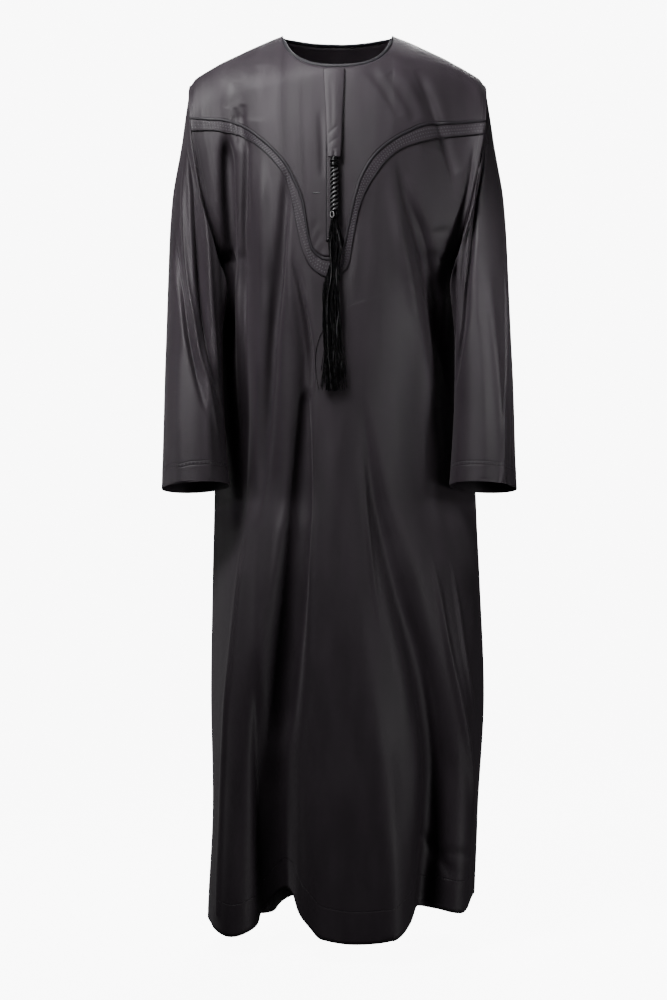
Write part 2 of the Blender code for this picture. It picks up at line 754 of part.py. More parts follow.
def tassel_band():
    """The folded strip that hangs from the neckline, over the placket."""
    rows = TASSEL_BAND_ROWS
    outer, inner, numbers = {}, {}, []
    top, foot = TASSEL_BAND[0].z, TASSEL_BAND[-1].z
    for i in range(TASSEL_BAND_COLUMNS + 1):
        share = 2.0 * i / TASSEL_BAND_COLUMNS - 1.0
        column = []
        for j in range(rows + 1):
            z = top + (foot - top) * j / rows
            half_width = smooth_value(TASSEL_BAND, "z", "half_width", z)
            lift = smooth_value(TASSEL_BAND, "z", "lift", z)
            middle = body_point(TASSEL_X / SHOULDER_HALF_WIDTH, z, True).y
            number = len(outer)
            bow = TASSEL_BAND_BOW * share * share
            outer[number] = Vector((TASSEL_X + half_width * share, middle - lift + bow, z))
            inner[number] = outer[number] + Vector((0, TASSEL_BAND_WALL, 0))
            column.append(number)
        numbers.append(column)
    faces = []
    for left, right in zip(numbers, numbers[1:]):
        for j in range(rows):
            faces += [(left[j], left[j + 1], right[j + 1]), (left[j], right[j + 1], right[j])]
    return wall_object("tassel_band", outer, faces, inner, CLOTH)


def turned_piece(name, rings, colour):
    """Rings of points joined into one closed body, with a middle point on each end."""
    sides = len(rings[0])
    verts = [point for ring in rings for point in ring]
    faces = []
    for i in range(len(rings) - 1):
        for k in range(sides):
            a, b = i * sides + k, i * sides + (k + 1) % sides
            faces += [(a, a + sides, b + sides), (a, b + sides, b)]
    for ring, first, flip in ((rings[0], 0, False), (rings[-1], (len(rings) - 1) * sides, True)):
        verts.append(sum(ring, Vector((0, 0, 0))) / sides)
        tip = len(verts) - 1
        for k in range(sides):
            face = (tip, first + k, first + (k + 1) % sides)
            faces.append(face[::-1] if flip else face)
    return mesh_object(name, verts, faces, colour)


def tassel_y(z):
    return smooth_value(TASSEL_LINE, "z", "y", z)


def tassel_knot():
    rings = []
    for i in range(KNOT_ROWS + 1):
        share = i / KNOT_ROWS
        radius = KNOT_RADIUS * (KNOT_END + (1.0 - KNOT_END) * math.sin(math.pi * share))
        z = KNOT_TOP + (KNOT_FOOT - KNOT_TOP) * share
        rings.append([Vector((TASSEL_X + radius * math.cos(turn), tassel_y(z) + radius * math.sin(turn), z))
                      for turn in (math.tau * k / CORD_SIDES for k in range(CORD_SIDES))])
    return turned_piece("tassel_knot", rings, THREAD)


def tassel_cord():
    """Three plies twisted together, drawn as one lobed rod that turns as it goes down."""
    rings = []
    top = KNOT_FOOT - SEAM_GAP
    for i in range(CORD_ROWS + 1):
        share = i / CORD_ROWS
        z = top + (CORD_FOOT - top) * share
        ring = []
        for k in range(CORD_SIDES):
            turn = math.tau * k / CORD_SIDES
            radius = CORD_RADIUS - CORD_GROOVE * (1 - math.cos(CORD_PLIES * turn)) / 2
            angle = turn + math.tau * CORD_TURNS * share / CORD_PLIES
            ring.append(Vector((TASSEL_X + radius * math.cos(angle),
                                tassel_y(z) + radius * math.sin(angle), z)))
        rings.append(ring)
    return turned_piece("tassel_cord", rings, THREAD)


def tassel_fringe():
    """A bound head whose underside is drawn down, cell by cell, into the strands."""
    form = bmesh.new()
    corners = []
    for j in range(STRAND_DEEP + 1):
        for i in range(STRAND_ACROSS + 1):
            x = TASSEL_X + HEAD_WIDTH * (i / STRAND_ACROSS - 0.5)
            y = tassel_y(HEAD_FOOT) + HEAD_DEPTH * (j / STRAND_DEEP - 0.5)
            corners.append(form.verts.new((x, y, HEAD_FOOT)))
    cells = []
    width = STRAND_ACROSS + 1
    for j in range(STRAND_DEEP):
        for i in range(STRAND_ACROSS):
            a = j * width + i
            cells.append(form.faces.new((corners[a], corners[a + width],
                                         corners[a + width + 1], corners[a + 1])))
    rim = [edge for edge in form.edges if edge.is_boundary]
    grown = bmesh.ops.extrude_edge_only(form, edges=rim)
    raised = [item for item in grown["geom"] if isinstance(item, bmesh.types.BMVert)]
    for vert in raised:
        vert.co.z = HEAD_TOP
        vert.co.x = TASSEL_X + (vert.co.x - TASSEL_X) * HEAD_TAPER_WIDTH
        vert.co.y = tassel_y(HEAD_TOP) + (vert.co.y - tassel_y(HEAD_FOOT)) * HEAD_TAPER_DEPTH
    lid = [item for item in grown["geom"] if isinstance(item, bmesh.types.BMEdge)]
    bmesh.ops.holes_fill(form, edges=lid)
    bmesh.ops.inset_individual(form, faces=cells, thickness=STRAND_INSET)
    for number, cell in enumerate(cells):
        uneven = math.sin(number * STRAND_UNEVEN_TURN) ** 2
        drop = (STRAND_FOOT - HEAD_FOOT) * (STRAND_SHORTEST + (1.0 - STRAND_SHORTEST) * uneven)
        middle = cell.calc_center_median()
        splay = (middle.x - TASSEL_X) * STRAND_SPREAD
        face = cell
        for step in range(STRAND_STEPS):
            grown = bmesh.ops.extrude_discrete_faces(form, faces=[face])
            face = grown["faces"][0]
            share = (step + 1) / STRAND_STEPS
            for vert in face.verts:
                vert.co.z += drop / STRAND_STEPS
                vert.co.x += splay / STRAND_STEPS
            middle = face.calc_center_median()
            thin = 1.0 - STRAND_THINNING * share
            for vert in face.verts:
                vert.co.x = middle.x + (vert.co.x - middle.x) * thin
                vert.co.y = middle.y + (vert.co.y - middle.y) * thin
    bmesh.ops.triangulate(form, faces=form.faces)
    bmesh.ops.recalc_face_normals(form, faces=form.faces)
    mesh = bpy.data.meshes.new("tassel_fringe")
    form.to_mesh(mesh)
    form.free()
    item = bpy.data.objects.new("tassel_fringe", mesh)
    bpy.context.collection.objects.link(item)
    item.data.materials.append(finish("tassel_fringe", THREAD))
    return item


def build():
    clear_scene()
    across = column_places(FRONT_NECK_COLUMNS)
    back_across = column_places(BACK_NECK_COLUMNS)
    front = body_grid(across, front_heights, True)
    back = body_grid(back_across, back_heights, False)

    skin = Skin()
    front_numbers = skin.add_grid(
        front, lambda row: "front_yoke" if row < YOKE_ROWS else "front_panel", False)
    back_numbers = skin.add_grid(back, "back_panel", True)
    armhole_rows = YOKE_ROWS + BAND_ROWS + CHEST_ROWS
    for side, end in (("left", 0), ("right", -1)):
        front_edge = front[end][:armhole_rows + 1]
        back_edge = back[end][:BACK_TOP_ROWS + 1]
        columns = sleeve_grid(side, front_edge, back_edge)
        skin.add_grid(columns, "sleeve_" + side, side == "right", closed=True)
    normals = skin.normals()
    for name in ("front_yoke", "front_panel", "back_panel", "sleeve_left", "sleeve_right"):
        cloth_piece(skin, normals, name)

    band = [column[YOKE_ROWS:YOKE_ROWS + BAND_ROWS + 1] for column in front_numbers]
    strip_on(skin, normals, "yoke_band", band[1:-1], TRIM_WALL)
    centre = len(across) // 2
    columns = front_numbers[centre - PLACKET_HALF_COLUMNS:centre + PLACKET_HALF_COLUMNS + 1]
    strip_on(skin, normals, "front_placket", [column[:YOKE_ROWS] for column in columns], TRIM_WALL)

    neck = slice(SIDE_COLUMNS, SIDE_COLUMNS + FRONT_NECK_COLUMNS + 1)
    behind = slice(SIDE_COLUMNS + 1, SIDE_COLUMNS + BACK_NECK_COLUMNS)
    rims = [column[0] for column in front_numbers[neck]]
    rims += [column[0] for column in back_numbers[behind]][::-1]
    neck_binding(skin, normals, rims)
    tassel_band()
    tassel_knot()
    tassel_cord()
    tassel_fringe()


build()
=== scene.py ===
"""The looks of a black floor-length thobe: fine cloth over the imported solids, sewing, tassel and light.

Metres, +Z up, in the frame of the solids. The front faces -Y, and +X is the viewer's right. The first
tables and the functions of the body and sleeves repeat the form of the solids, at a finer spacing. The
tables of creases then add what only the finish shows.
"""
import math
import random
from collections import namedtuple
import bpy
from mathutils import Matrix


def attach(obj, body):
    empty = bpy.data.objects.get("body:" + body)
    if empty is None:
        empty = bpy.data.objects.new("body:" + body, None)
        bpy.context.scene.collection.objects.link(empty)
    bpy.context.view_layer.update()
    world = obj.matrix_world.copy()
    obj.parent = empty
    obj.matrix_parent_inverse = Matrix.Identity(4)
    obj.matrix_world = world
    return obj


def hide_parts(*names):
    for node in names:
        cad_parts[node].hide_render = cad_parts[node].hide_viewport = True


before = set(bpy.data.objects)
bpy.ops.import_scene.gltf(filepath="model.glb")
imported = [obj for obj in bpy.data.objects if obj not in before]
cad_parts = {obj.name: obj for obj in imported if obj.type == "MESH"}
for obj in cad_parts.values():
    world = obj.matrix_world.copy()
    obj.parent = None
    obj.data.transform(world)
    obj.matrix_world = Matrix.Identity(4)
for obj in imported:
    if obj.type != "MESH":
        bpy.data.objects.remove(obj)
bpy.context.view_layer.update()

from copy import copy

import bpy
import numpy as np
from mathutils import Vector, noise

# Cloth and trim
WALL = 0.0015
SEAM_GAP = 0.0003
TRIM_WALL = 0.0010
BINDING_WIDTH = 0.006
BINDING_WALL = 0.0026
TINY = 1e-4

# Shoulders, neck and armholes
NECK_HALF_WIDTH = 0.089
FRONT_NECK_DROP = 0.069
BACK_NECK_DROP = 0.010
NECK_ROUND = 0.105
SHOULDER_ROUND = 0.060
NECK_POWER = 0.85
SHOULDER_POWER = 0.50
SHOULDER_HALF_WIDTH = 0.236
SHOULDER_Z = -0.080
UNDERARM_Z = -0.360
ARMHOLE_FRONT = 0.066
ARMHOLE_BACK = 0.072
BACK_CORNER = 0.52
ROUND_FROM, ROUND_TO = 0.060, 0.230
BODY_ROUNDNESS = 2.3
NECK_ROUNDNESS = 2.5
FOLD_SIDE_FADE = 6.0
ARMHOLE_FADE = 4.0
FOLD_SIDEWAYS = 0.4
SLEEVE_RADIUS = 0.065

# Rows of points down each panel, and columns across it
YOKE_ROWS = 62
BAND_ROWS = 9
CHEST_ROWS = 44
SKIRT_ROWS = 148
BACK_TOP_ROWS = 72
SLEEVE_ROWS = 176
CHEST_CENTRE_DROP = 0.090
FRONT_NECK_COLUMNS = 76
BACK_NECK_COLUMNS = 48
FRONT_SIDE_COLUMNS = 76
BACK_SIDE_COLUMNS = 48
YOKE_LEVEL, BAND_LEVEL, HEM_LEVEL = -0.22, -0.25, -1.40


def rows_of(kind, rows):
    """A table's rows with named columns. What a row leaves out at its end is 0."""
    return [kind(*row) for row in rows]


def folds_of(kind, folds):
    return {name: rows_of(kind, rows) for name, rows in folds.items()}


# The body at each height: side is the depth of its side edge, corner how boxy the front's corners are
Section = namedtuple("Section", "z half_width centre side front back corner")
BODY_SECTIONS = rows_of(Section, [
    (0.04, 0.236, 0, 0, -0.066, 0.068, 0.85),
    (-0.08, 0.236, 0, 0, -0.1, 0.092, 0.85),
    (-0.135, 0.234, 0, 0, -0.109, 0.108, 0.85),
    (-0.2, 0.224, 0, 0, -0.118, 0.12, 0.82),
    (-0.28, 0.207, 0, 0, -0.126, 0.124, 0.76),
    (-0.36, 0.189, 0, 0, -0.13, 0.122, 0.66),
    (-0.4, 0.1815, 0, 0.01, -0.131, 0.118, 0.62),
    (-0.44, 0.1895, 0, 0.028, -0.131, 0.115, 0.63),
    (-0.48, 0.193, 0, 0.038, -0.131, 0.113, 0.66),
    (-0.58, 0.1945, 0.002, 0.043, -0.131, 0.113, 0.86),
    (-0.68, 0.206, 0.009, 0.05, -0.132, 0.119, 1.2),
    (-0.735, 0.2125, 0.0125, 0.052, -0.134, 0.124, 1.3),
    (-0.79, 0.2135, 0.013, 0.04, -0.136, 0.128, 0.9),
    (-0.87, 0.215, 0.014, 0.018, -0.139, 0.132, 0.62),
    (-1.05, 0.2184, 0.016, 0, -0.144, 0.136, 0.5),
    (-1.25, 0.212, 0.012, 0, -0.15, 0.141, 0.5),
    (-1.43, 0.213, 0.005, 0, -0.156, 0.148, 0.5),
])

# The shoulder seam, from the neck out to the sleeve
Point = namedtuple("Point", "x z")
SHOULDER_LINE = rows_of(Point, [
    (0, 0.02), (0.06, 0.012), (0.089, 0), (0.134, -0.019), (0.174, -0.038), (0.208, -0.057),
    (0.226, -0.069), (0.236, -0.08),
])

# The bib's seam across the front, and the lower edge of the stitched band that follows it
YOKE_SEAM = rows_of(Point, [
    (-0.236, -0.139), (-0.1741, -0.144), (-0.142, -0.156), (-0.1169, -0.177), (-0.0935, -0.202),
    (-0.0766, -0.225), (-0.0642, -0.25), (-0.0565, -0.275), (-0.0535, -0.309), (-0.0495, -0.344),
    (-0.0395, -0.36), (-0.021, -0.369), (-0.0041, -0.368), (0.009, -0.358), (0.013, -0.34),
    (0.0185, -0.312), (0.0237, -0.287), (0.0314, -0.255), (0.0422, -0.228), (0.0576, -0.204),
    (0.0776, -0.185), (0.101, -0.169), (0.1339, -0.153), (0.1707, -0.149), (0.236, -0.143),
])
BAND_EDGE = rows_of(Point, [
    (-0.236, -0.164), (-0.1866, -0.162), (-0.1513, -0.17), (-0.1263, -0.184), (-0.0997, -0.212),
    (-0.0827, -0.24), (-0.0735, -0.276), (-0.0678, -0.326), (-0.064, -0.35), (-0.0565, -0.373),
    (-0.0411, -0.39), (-0.021, -0.399), (-0.0041, -0.398), (0.016, -0.388), (0.0229, -0.368),
    (0.028, -0.325), (0.0375, -0.282), (0.0468, -0.26), (0.0576, -0.24), (0.0746, -0.215),
    (0.0946, -0.197), (0.1261, -0.184), (0.16, -0.174), (0.236, -0.167),
])

# Heights of the hem across the front, and across the back
FRONT_HEM = rows_of(Point, [
    (-0.206, -1.406), (-0.165, -1.42), (-0.133, -1.404), (-0.104, -1.354), (-0.084, -1.354),
    (-0.063, -1.378), (-0.045, -1.395), (-0.025, -1.413), (0.022, -1.42), (0.077, -1.414), (0.11, -1.393),
    (0.134, -1.375), (0.163, -1.379), (0.19, -1.386), (0.215, -1.366),
])
BACK_HEM = rows_of(Point, [
    (-0.206, -1.406), (-0.14, -1.416), (-0.06, -1.398), (0.03, -1.412), (0.11, -1.396), (0.165, -1.392),
    (0.215, -1.366),
])

# Folds of the body. Each runs down through its stations; height is out of the cloth, or into it if negative,
# and a lean above 0 makes the right flank the gentle one
Station = namedtuple("Station", "x z width height lean", defaults=(0, 0))
FRONT_FOLDS = folds_of(Station, {
    "left armhole trough": [
        (-0.176, -0.15, 0.008), (-0.172, -0.22, 0.01, -0.02), (-0.168, -0.32, 0.011, -0.022),
        (-0.16, -0.43, 0.01)],
    "left chest trough": [
        (-0.15, -0.19, 0.01), (-0.142, -0.33, 0.011, -0.007), (-0.142, -0.52, 0.012, -0.009),
        (-0.15, -0.76, 0.014)],
    "second chest trough": [
        (-0.083, -0.26, 0.01), (-0.098, -0.43, 0.011, -0.008), (-0.104, -0.6, 0.013, -0.007),
        (-0.112, -0.8, 0.016)],
    "left skirt recess": [
        (-0.062, -0.41, 0.01), (-0.05, -0.53, 0.011, -0.009), (-0.058, -0.68, 0.013, -0.018),
        (-0.073, -0.84, 0.017, -0.026), (-0.085, -1, 0.024, -0.04), (-0.1, -1.2, 0.032, -0.07),
        (-0.105, -1.43, 0.035, -0.098)],
    "left skirt ridge": [
        (-0.155, -0.82, 0.02), (-0.172, -1.05, 0.022, 0.008), (-0.182, -1.43, 0.026, 0.016)],
    "centre skirt ridge": [(0.03, -0.8, 0.04), (0.055, -1.05, 0.045, 0.008), (0.078, -1.43, 0.04, 0.016)],
    "right chest trough": [
        (0.092, -0.21, 0.009), (0.122, -0.32, 0.011, -0.01), (0.15, -0.42, 0.012, -0.018),
        (0.166, -0.56, 0.013, -0.01), (0.168, -0.7, 0.014)],
    "shoulder crease": [
        (0.122, -0.078, 0.008), (0.14, -0.125, 0.009, -0.006), (0.17, -0.19, 0.01, -0.006),
        (0.186, -0.26, 0.01)],
    "right skirt recess": [
        (0.036, -0.6, 0.012), (0.056, -0.73, 0.016, -0.009), (0.098, -0.89, 0.024, -0.016),
        (0.14, -1.04, 0.024, -0.028), (0.158, -1.18, 0.024, -0.042), (0.146, -1.43, 0.026, -0.066)],
    "right skirt ridge": [
        (0.172, -0.85, 0.014), (0.192, -1.02, 0.015, 0.008), (0.2, -1.2, 0.018, 0.01),
        (0.194, -1.43, 0.02, 0.014)],
})
BACK_FOLDS = folds_of(Station, {
    "left blade trough": [(-0.15, -0.17, 0.012), (-0.14, -0.42, 0.014, -0.01), (-0.125, -0.7, 0.018)],
    "right blade trough": [(0.158, -0.18, 0.012), (0.138, -0.4, 0.014, -0.009), (0.112, -0.64, 0.018)],
    "left back recess": [
        (-0.096, -0.56, 0.016), (-0.116, -0.85, 0.022, -0.015), (-0.128, -1.43, 0.034, -0.05)],
    "middle back recess": [
        (-0.03, -0.42, 0.016), (-0.026, -0.8, 0.024, -0.014), (-0.018, -1.43, 0.036, -0.046)],
    "right back recess": [
        (0.066, -0.6, 0.018), (0.094, -0.9, 0.024, -0.014), (0.108, -1.43, 0.036, -0.048)],
    "right edge ridge": [(0.17, -0.85, 0.018), (0.18, -1.43, 0.022, 0.012)],
})

# Sleeves: the outer and inner line, the front and back depth, and how far the front leans towards
# the body, at shares of the sleeve's length
SleeveSection = namedtuple("SleeveSection", "along outer_x outer_z inner_x inner_z front back skew")
SLEEVE_SECTIONS = rows_of(SleeveSection, [
    (0, 0.236, -0.08, 0.189, -0.36, -0.066, 0.072, 0),
    (0.12, 0.248, -0.16, 0.194, -0.4, -0.071, 0.071, 0.011),
    (0.25, 0.259, -0.25, 0.1905, -0.436, -0.078, 0.068, 0.028),
    (0.45, 0.269, -0.39, 0.1885, -0.505, -0.086, 0.06, 0.022),
    (0.7, 0.2765, -0.55, 0.183, -0.603, -0.1, 0.048, 0.013),
    (1, 0.281, -0.724, 0.1735, -0.72, -0.114, 0.034, 0.008),
])
CUFF_TILT = 0.009
RING_FADE = 0.25
SLEEVE_LEAN = {"left": -0.003, "right": 0.003}

# Sleeve folds: the angle is 0 on the outer side, 90 in front, 180 on the inner side
SleeveStation = namedtuple("SleeveStation", "along angle width height lean", defaults=(0, 0))
SLEEVE_FOLDS = {
    "left": folds_of(SleeveStation, {
        "underarm ridge": [(0.04, 108, 0.012), (0.18, 134, 0.013, 0.012), (0.42, 144, 0.014)],
        "front ridge": [
            (0.1, 60, 0.012), (0.3, 82, 0.012, 0.007), (0.5, 112, 0.012, 0.008), (0.68, 132, 0.012)],
        "front trough": [
            (0.24, 60, 0.01), (0.4, 72, 0.01, -0.007), (0.55, 92, 0.01, -0.006), (0.72, 110, 0.012)],
        "back trough": [(0.15, 270, 0.014), (0.45, 255, 0.014, -0.008), (0.9, 268, 0.014)],
    }),
    "right": folds_of(SleeveStation, {
        "underarm ridge": [(0.04, 108, 0.012), (0.18, 130, 0.013, 0.012), (0.42, 140, 0.014)],
        "front trough": [
            (0.14, 66, 0.01), (0.24, 88, 0.01, -0.008), (0.34, 108, 0.01, -0.007), (0.5, 122, 0.012)],
        "pressed edge": [(0.35, 52, 0.01), (0.6, 52, 0.01, 0.005), (1, 50, 0.01, 0.006)],
        "back trough": [(0.1, 262, 0.014), (0.5, 276, 0.014, -0.008), (0.88, 262, 0.014)],
    }),
}

# Trim down the front
TASSEL_X = -0.0055
BandSection = namedtuple("BandSection", "z half_width lift")
TASSEL_BAND = rows_of(BandSection, [
    (-0.0765, 0.0165, 0.0048),
    (-0.11, 0.015, 0.0055),
    (-0.15, 0.013, 0.0072),
    (-0.19, 0.0115, 0.0097),
    (-0.2147, 0.01, 0.0116),
])
TASSEL_BAND_WALL = 0.0022
TASSEL_BAND_BOW, TASSEL_BAND_BULGE = 0.0014, 0.0005
TASSEL_BAND_TUCK = 0.0050
TASSEL_BAND_COLUMNS, TASSEL_BAND_ROWS = 19, 74
TasselPoint = namedtuple("TasselPoint", "z y")
TASSEL_LINE = rows_of(TasselPoint, [
    (-0.2147, -0.129), (-0.2335, -0.1312), (-0.297, -0.1375), (-0.309, -0.139),
])
KNOT_RADIUS, KNOT_TOP, KNOT_FOOT = 0.0072, -0.2150, -0.2335
CORD_RADIUS, CORD_FOOT = 0.0062, -0.2970
CORD_PLIES = 3
HEAD_TOP, HEAD_FOOT = CORD_FOOT - SEAM_GAP, -0.3090
STRAND_FOOT = -0.577

# Creases that only the finish shows. Each runs from its first point to its second, bowed to its right,
# and fades at both ends. skew above 0 makes the right flank the gentle one
Crease = namedtuple("Crease", "x1 z1 x2 z2 bow width height skew", defaults=(0,))
FRONT_CREASES = rows_of(Crease, [
    # Left of the neck and over the left end of the yoke band
    (-0.163, -0.086, -0.172, -0.128, 0.004, 0.01, -0.0012, 0.3),
    (-0.161, -0.128, -0.16, -0.19, 0.001, 0.005, -0.0034),
    (-0.149, -0.124, -0.145, -0.198, -0.002, 0.0055, -0.0038),
    (-0.168, -0.15, -0.15, -0.14, 0, 0.006, -0.0012),
    (-0.12, -0.06, -0.132, -0.15, 0.006, 0.014, -0.0022, 0.2),
    # Right of the neck
    (0.044, -0.07, 0.096, -0.146, 0.004, 0.01, -0.0022, 0.3),
    (0.078, -0.078, 0.122, -0.15, 0.003, 0.01, -0.0024, 0.2),
    # From the right shoulder seam down to the armhole
    (0.122, -0.068, 0.1855, -0.228, 0.002, 0.007, -0.0048, 0.4),
    (0.166, -0.18, 0.186, -0.262, 0.002, 0.006, -0.0024),
    (0.132, -0.192, 0.166, -0.2, 0, 0.005, -0.0018),
    (0.146, -0.326, 0.178, -0.318, 0, 0.005, -0.0018),
    # Beside the slit
    (-0.028, -0.14, -0.024, -0.245, 0.002, 0.0046, -0.0022),
    (-0.046, -0.352, -0.03, -0.312, 0.002, 0.0034, -0.0012, 0.2),
    (-0.042, -0.368, -0.024, -0.33, 0.002, 0.0034, -0.0012, 0.2),
    (-0.036, -0.38, -0.018, -0.35, 0.001, 0.0034, -0.001, 0.2),
    # Low on the right of the skirt
    (0.14, -1.255, 0.18, -1.33, 0.004, 0.006, -0.0045, 0.2),
    (0.17, -1.29, 0.204, -1.296, 0, 0.005, -0.003),
])

# Finer folds, which run down the cloth through their stations
FINE_FRONT_FOLDS = folds_of(Station, {
    "armhole trough, left": [
        (-0.1768, -0.165, 0.004), (-0.1768, -0.202, 0.0055, -0.011), (-0.1737, -0.333, 0.0065, -0.015),
        (-0.1722, -0.449, 0.0065, -0.013), (-0.1675, -0.557, 0.007, -0.007),
        (-0.1629, -0.649, 0.007, -0.006), (-0.1598, -0.727, 0.007, -0.006), (-0.1598, -0.788, 0.007)],
    "first chest ridge": [
        (-0.1614, -0.184, 0.005), (-0.1614, -0.279, 0.005, 0.003), (-0.1567, -0.403, 0.006, 0.004),
        (-0.1552, -0.511, 0.006)],
    "first chest trough": [
        (-0.1413, -0.159, 0.004, 0, 0.3), (-0.1429, -0.202, 0.0045, -0.007, 0.3),
        (-0.146, -0.272, 0.005, -0.008, 0.3), (-0.1506, -0.372, 0.006, -0.008, 0.2),
        (-0.1506, -0.48, 0.007, -0.009), (-0.1506, -0.619, 0.008, -0.009),
        (-0.1537, -0.727, 0.008, -0.007), (-0.1552, -0.811, 0.008)],
    "second chest ridge": [
        (-0.1182, -0.199, 0.008), (-0.1167, -0.279, 0.009, 0.0056), (-0.1136, -0.403, 0.009, 0.0056),
        (-0.1136, -0.503, 0.009, 0.0034), (-0.1167, -0.603, 0.009)],
    "second chest trough": [
        (-0.0796, -0.218, 0.006, 0, 0.2), (-0.0827, -0.279, 0.007, -0.008, 0.2),
        (-0.0904, -0.387, 0.008, -0.009, 0.2), (-0.1012, -0.48, 0.008, -0.008, 0.2),
        (-0.1089, -0.588, 0.009, -0.009), (-0.1167, -0.696, 0.01, -0.008), (-0.1259, -0.804, 0.01)],
    "third chest ridge": [
        (-0.0735, -0.287, 0.007), (-0.075, -0.372, 0.008, 0.0042), (-0.0704, -0.464, 0.008, 0.0049),
        (-0.0596, -0.545, 0.006)],
    "sharp slanting crease": [
        (-0.0704, -0.356, 0.003, 0, 0.5), (-0.0596, -0.418, 0.004, -0.0056, 0.6),
        (-0.0488, -0.483, 0.004, -0.0091, 0.6), (-0.0442, -0.529, 0.004, -0.0075, 0.6),
        (-0.0426, -0.566, 0.004, -0.0046, 0.5), (-0.0442, -0.591, 0.004, 0, 0.5)],
    "left recess": [
        (-0.0488, -0.565, 0.005, 0, -0.3), (-0.0503, -0.591, 0.006, -0.008, -0.3),
        (-0.0519, -0.665, 0.009, -0.012, -0.2), (-0.055, -0.742, 0.012, -0.015, -0.1),
        (-0.0611, -0.819, 0.015, -0.017), (-0.0689, -0.896, 0.018, -0.018),
        (-0.0796, -0.981, 0.022, -0.017), (-0.0904, -1.066, 0.024, -0.013), (-0.0981, -1.151, 0.022)],
    "lower left recess": [
        (-0.1228, -0.958, 0.01, 0, 0.2), (-0.1274, -1.05, 0.012, -0.008, 0.2),
        (-0.1274, -1.143, 0.014, -0.012, 0.3), (-0.1259, -1.235, 0.014, -0.016, 0.3),
        (-0.1244, -1.328, 0.014, -0.018, 0.3), (-0.1228, -1.413, 0.014, -0.018, 0.3)],
    "thin left ridge": [
        (-0.1429, -0.773, 0.003), (-0.1537, -0.842, 0.003, 0.0024), (-0.166, -0.981, 0.003, 0.0034),
        (-0.1737, -1.097, 0.003, 0.004), (-0.1799, -1.328, 0.003, 0.004), (-0.1814, -1.39, 0.003, 0.0036)],
    "soft left swell": [
        (-0.1228, -0.773, 0.012), (-0.1228, -0.896, 0.012, 0.003), (-0.1213, -1.02, 0.012, 0.003),
        (-0.1197, -1.12, 0.012)],
    "pressed line": [
        (-0.0434, -0.569, 0.0022), (-0.0434, -0.588, 0.0022, -0.0018), (-0.0442, -0.742, 0.0022, -0.0016),
        (-0.0473, -0.835, 0.0022)],
    "thin line right of the middle": [
        (0.0391, -0.649, 0.0026), (0.0437, -0.734, 0.0026, 0.002), (0.0499, -0.811, 0.0026, 0.0024),
        (0.0591, -0.896, 0.0026, 0.0016), (0.0638, -0.939, 0.0026)],
    "right recess": [
        (0.0375, -0.575, 0.006, 0, -0.2), (0.0468, -0.649, 0.007, -0.004, -0.2),
        (0.0576, -0.727, 0.008, -0.005, -0.2), (0.0746, -0.804, 0.01, -0.007, -0.2),
        (0.0992, -0.896, 0.012, -0.008, -0.2), (0.1254, -0.973, 0.013, -0.01, -0.3),
        (0.1486, -1.066, 0.013, -0.013, -0.4), (0.1609, -1.174, 0.013, -0.014, -0.4),
        (0.1594, -1.282, 0.013, -0.012, -0.3), (0.1517, -1.374, 0.012, -0.01)],
    "first right ridge": [
        (0.1486, -0.822, 0.003), (0.1594, -0.896, 0.004, 0.004), (0.1671, -0.946, 0.004, 0.005),
        (0.1887, -1.058, 0.004, 0.006), (0.2041, -1.154, 0.004, 0.006), (0.2103, -1.223, 0.004, 0.004),
        (0.2133, -1.289, 0.004)],
    "second right ridge": [
        (0.1794, -0.827, 0.003), (0.1887, -0.912, 0.003, 0.0034), (0.1964, -0.981, 0.003, 0.004),
        (0.2072, -1.041, 0.003, 0.003), (0.2133, -1.084, 0.003)],
    "right chest trough": [
        (0.0931, -0.202, 0.006), (0.1023, -0.249, 0.007, -0.0042), (0.1193, -0.292, 0.008, -0.007),
        (0.1378, -0.335, 0.009, -0.0112), (0.1532, -0.403, 0.01, -0.0116), (0.1671, -0.48, 0.01, -0.012),
        (0.1763, -0.557, 0.01, -0.004), (0.1763, -0.62, 0.009)],
    "right chest ridge": [
        (0.0838, -0.249, 0.008), (0.0961, -0.326, 0.009, 0.0042), (0.1146, -0.418, 0.009, 0.0056),
        (0.1332, -0.511, 0.01, 0.004), (0.148, -0.59, 0.012, 0.005), (0.154, -0.68, 0.012, 0.005),
        (0.156, -0.8, 0.012)],
    "armhole trough, right": [
        (0.2132, -0.184, 0.004), (0.209, -0.233, 0.005, -0.0112), (0.199, -0.303, 0.006, -0.0168),
        (0.189, -0.375, 0.007, -0.018), (0.183, -0.449, 0.007, -0.008), (0.179, -0.534, 0.007, -0.003),
        (0.1763, -0.58, 0.006)],
    "middle swell": [
        (0.0036, -0.588, 0.016), (-0.0025, -0.696, 0.018, 0.003), (0.0113, -0.835, 0.02, 0.004),
        (0.0422, -1.02, 0.024, 0.005), (0.073, -1.189, 0.02, 0.006), (0.0838, -1.328, 0.018, 0.006),
        (0.0869, -1.413, 0.018, 0.005)],
})
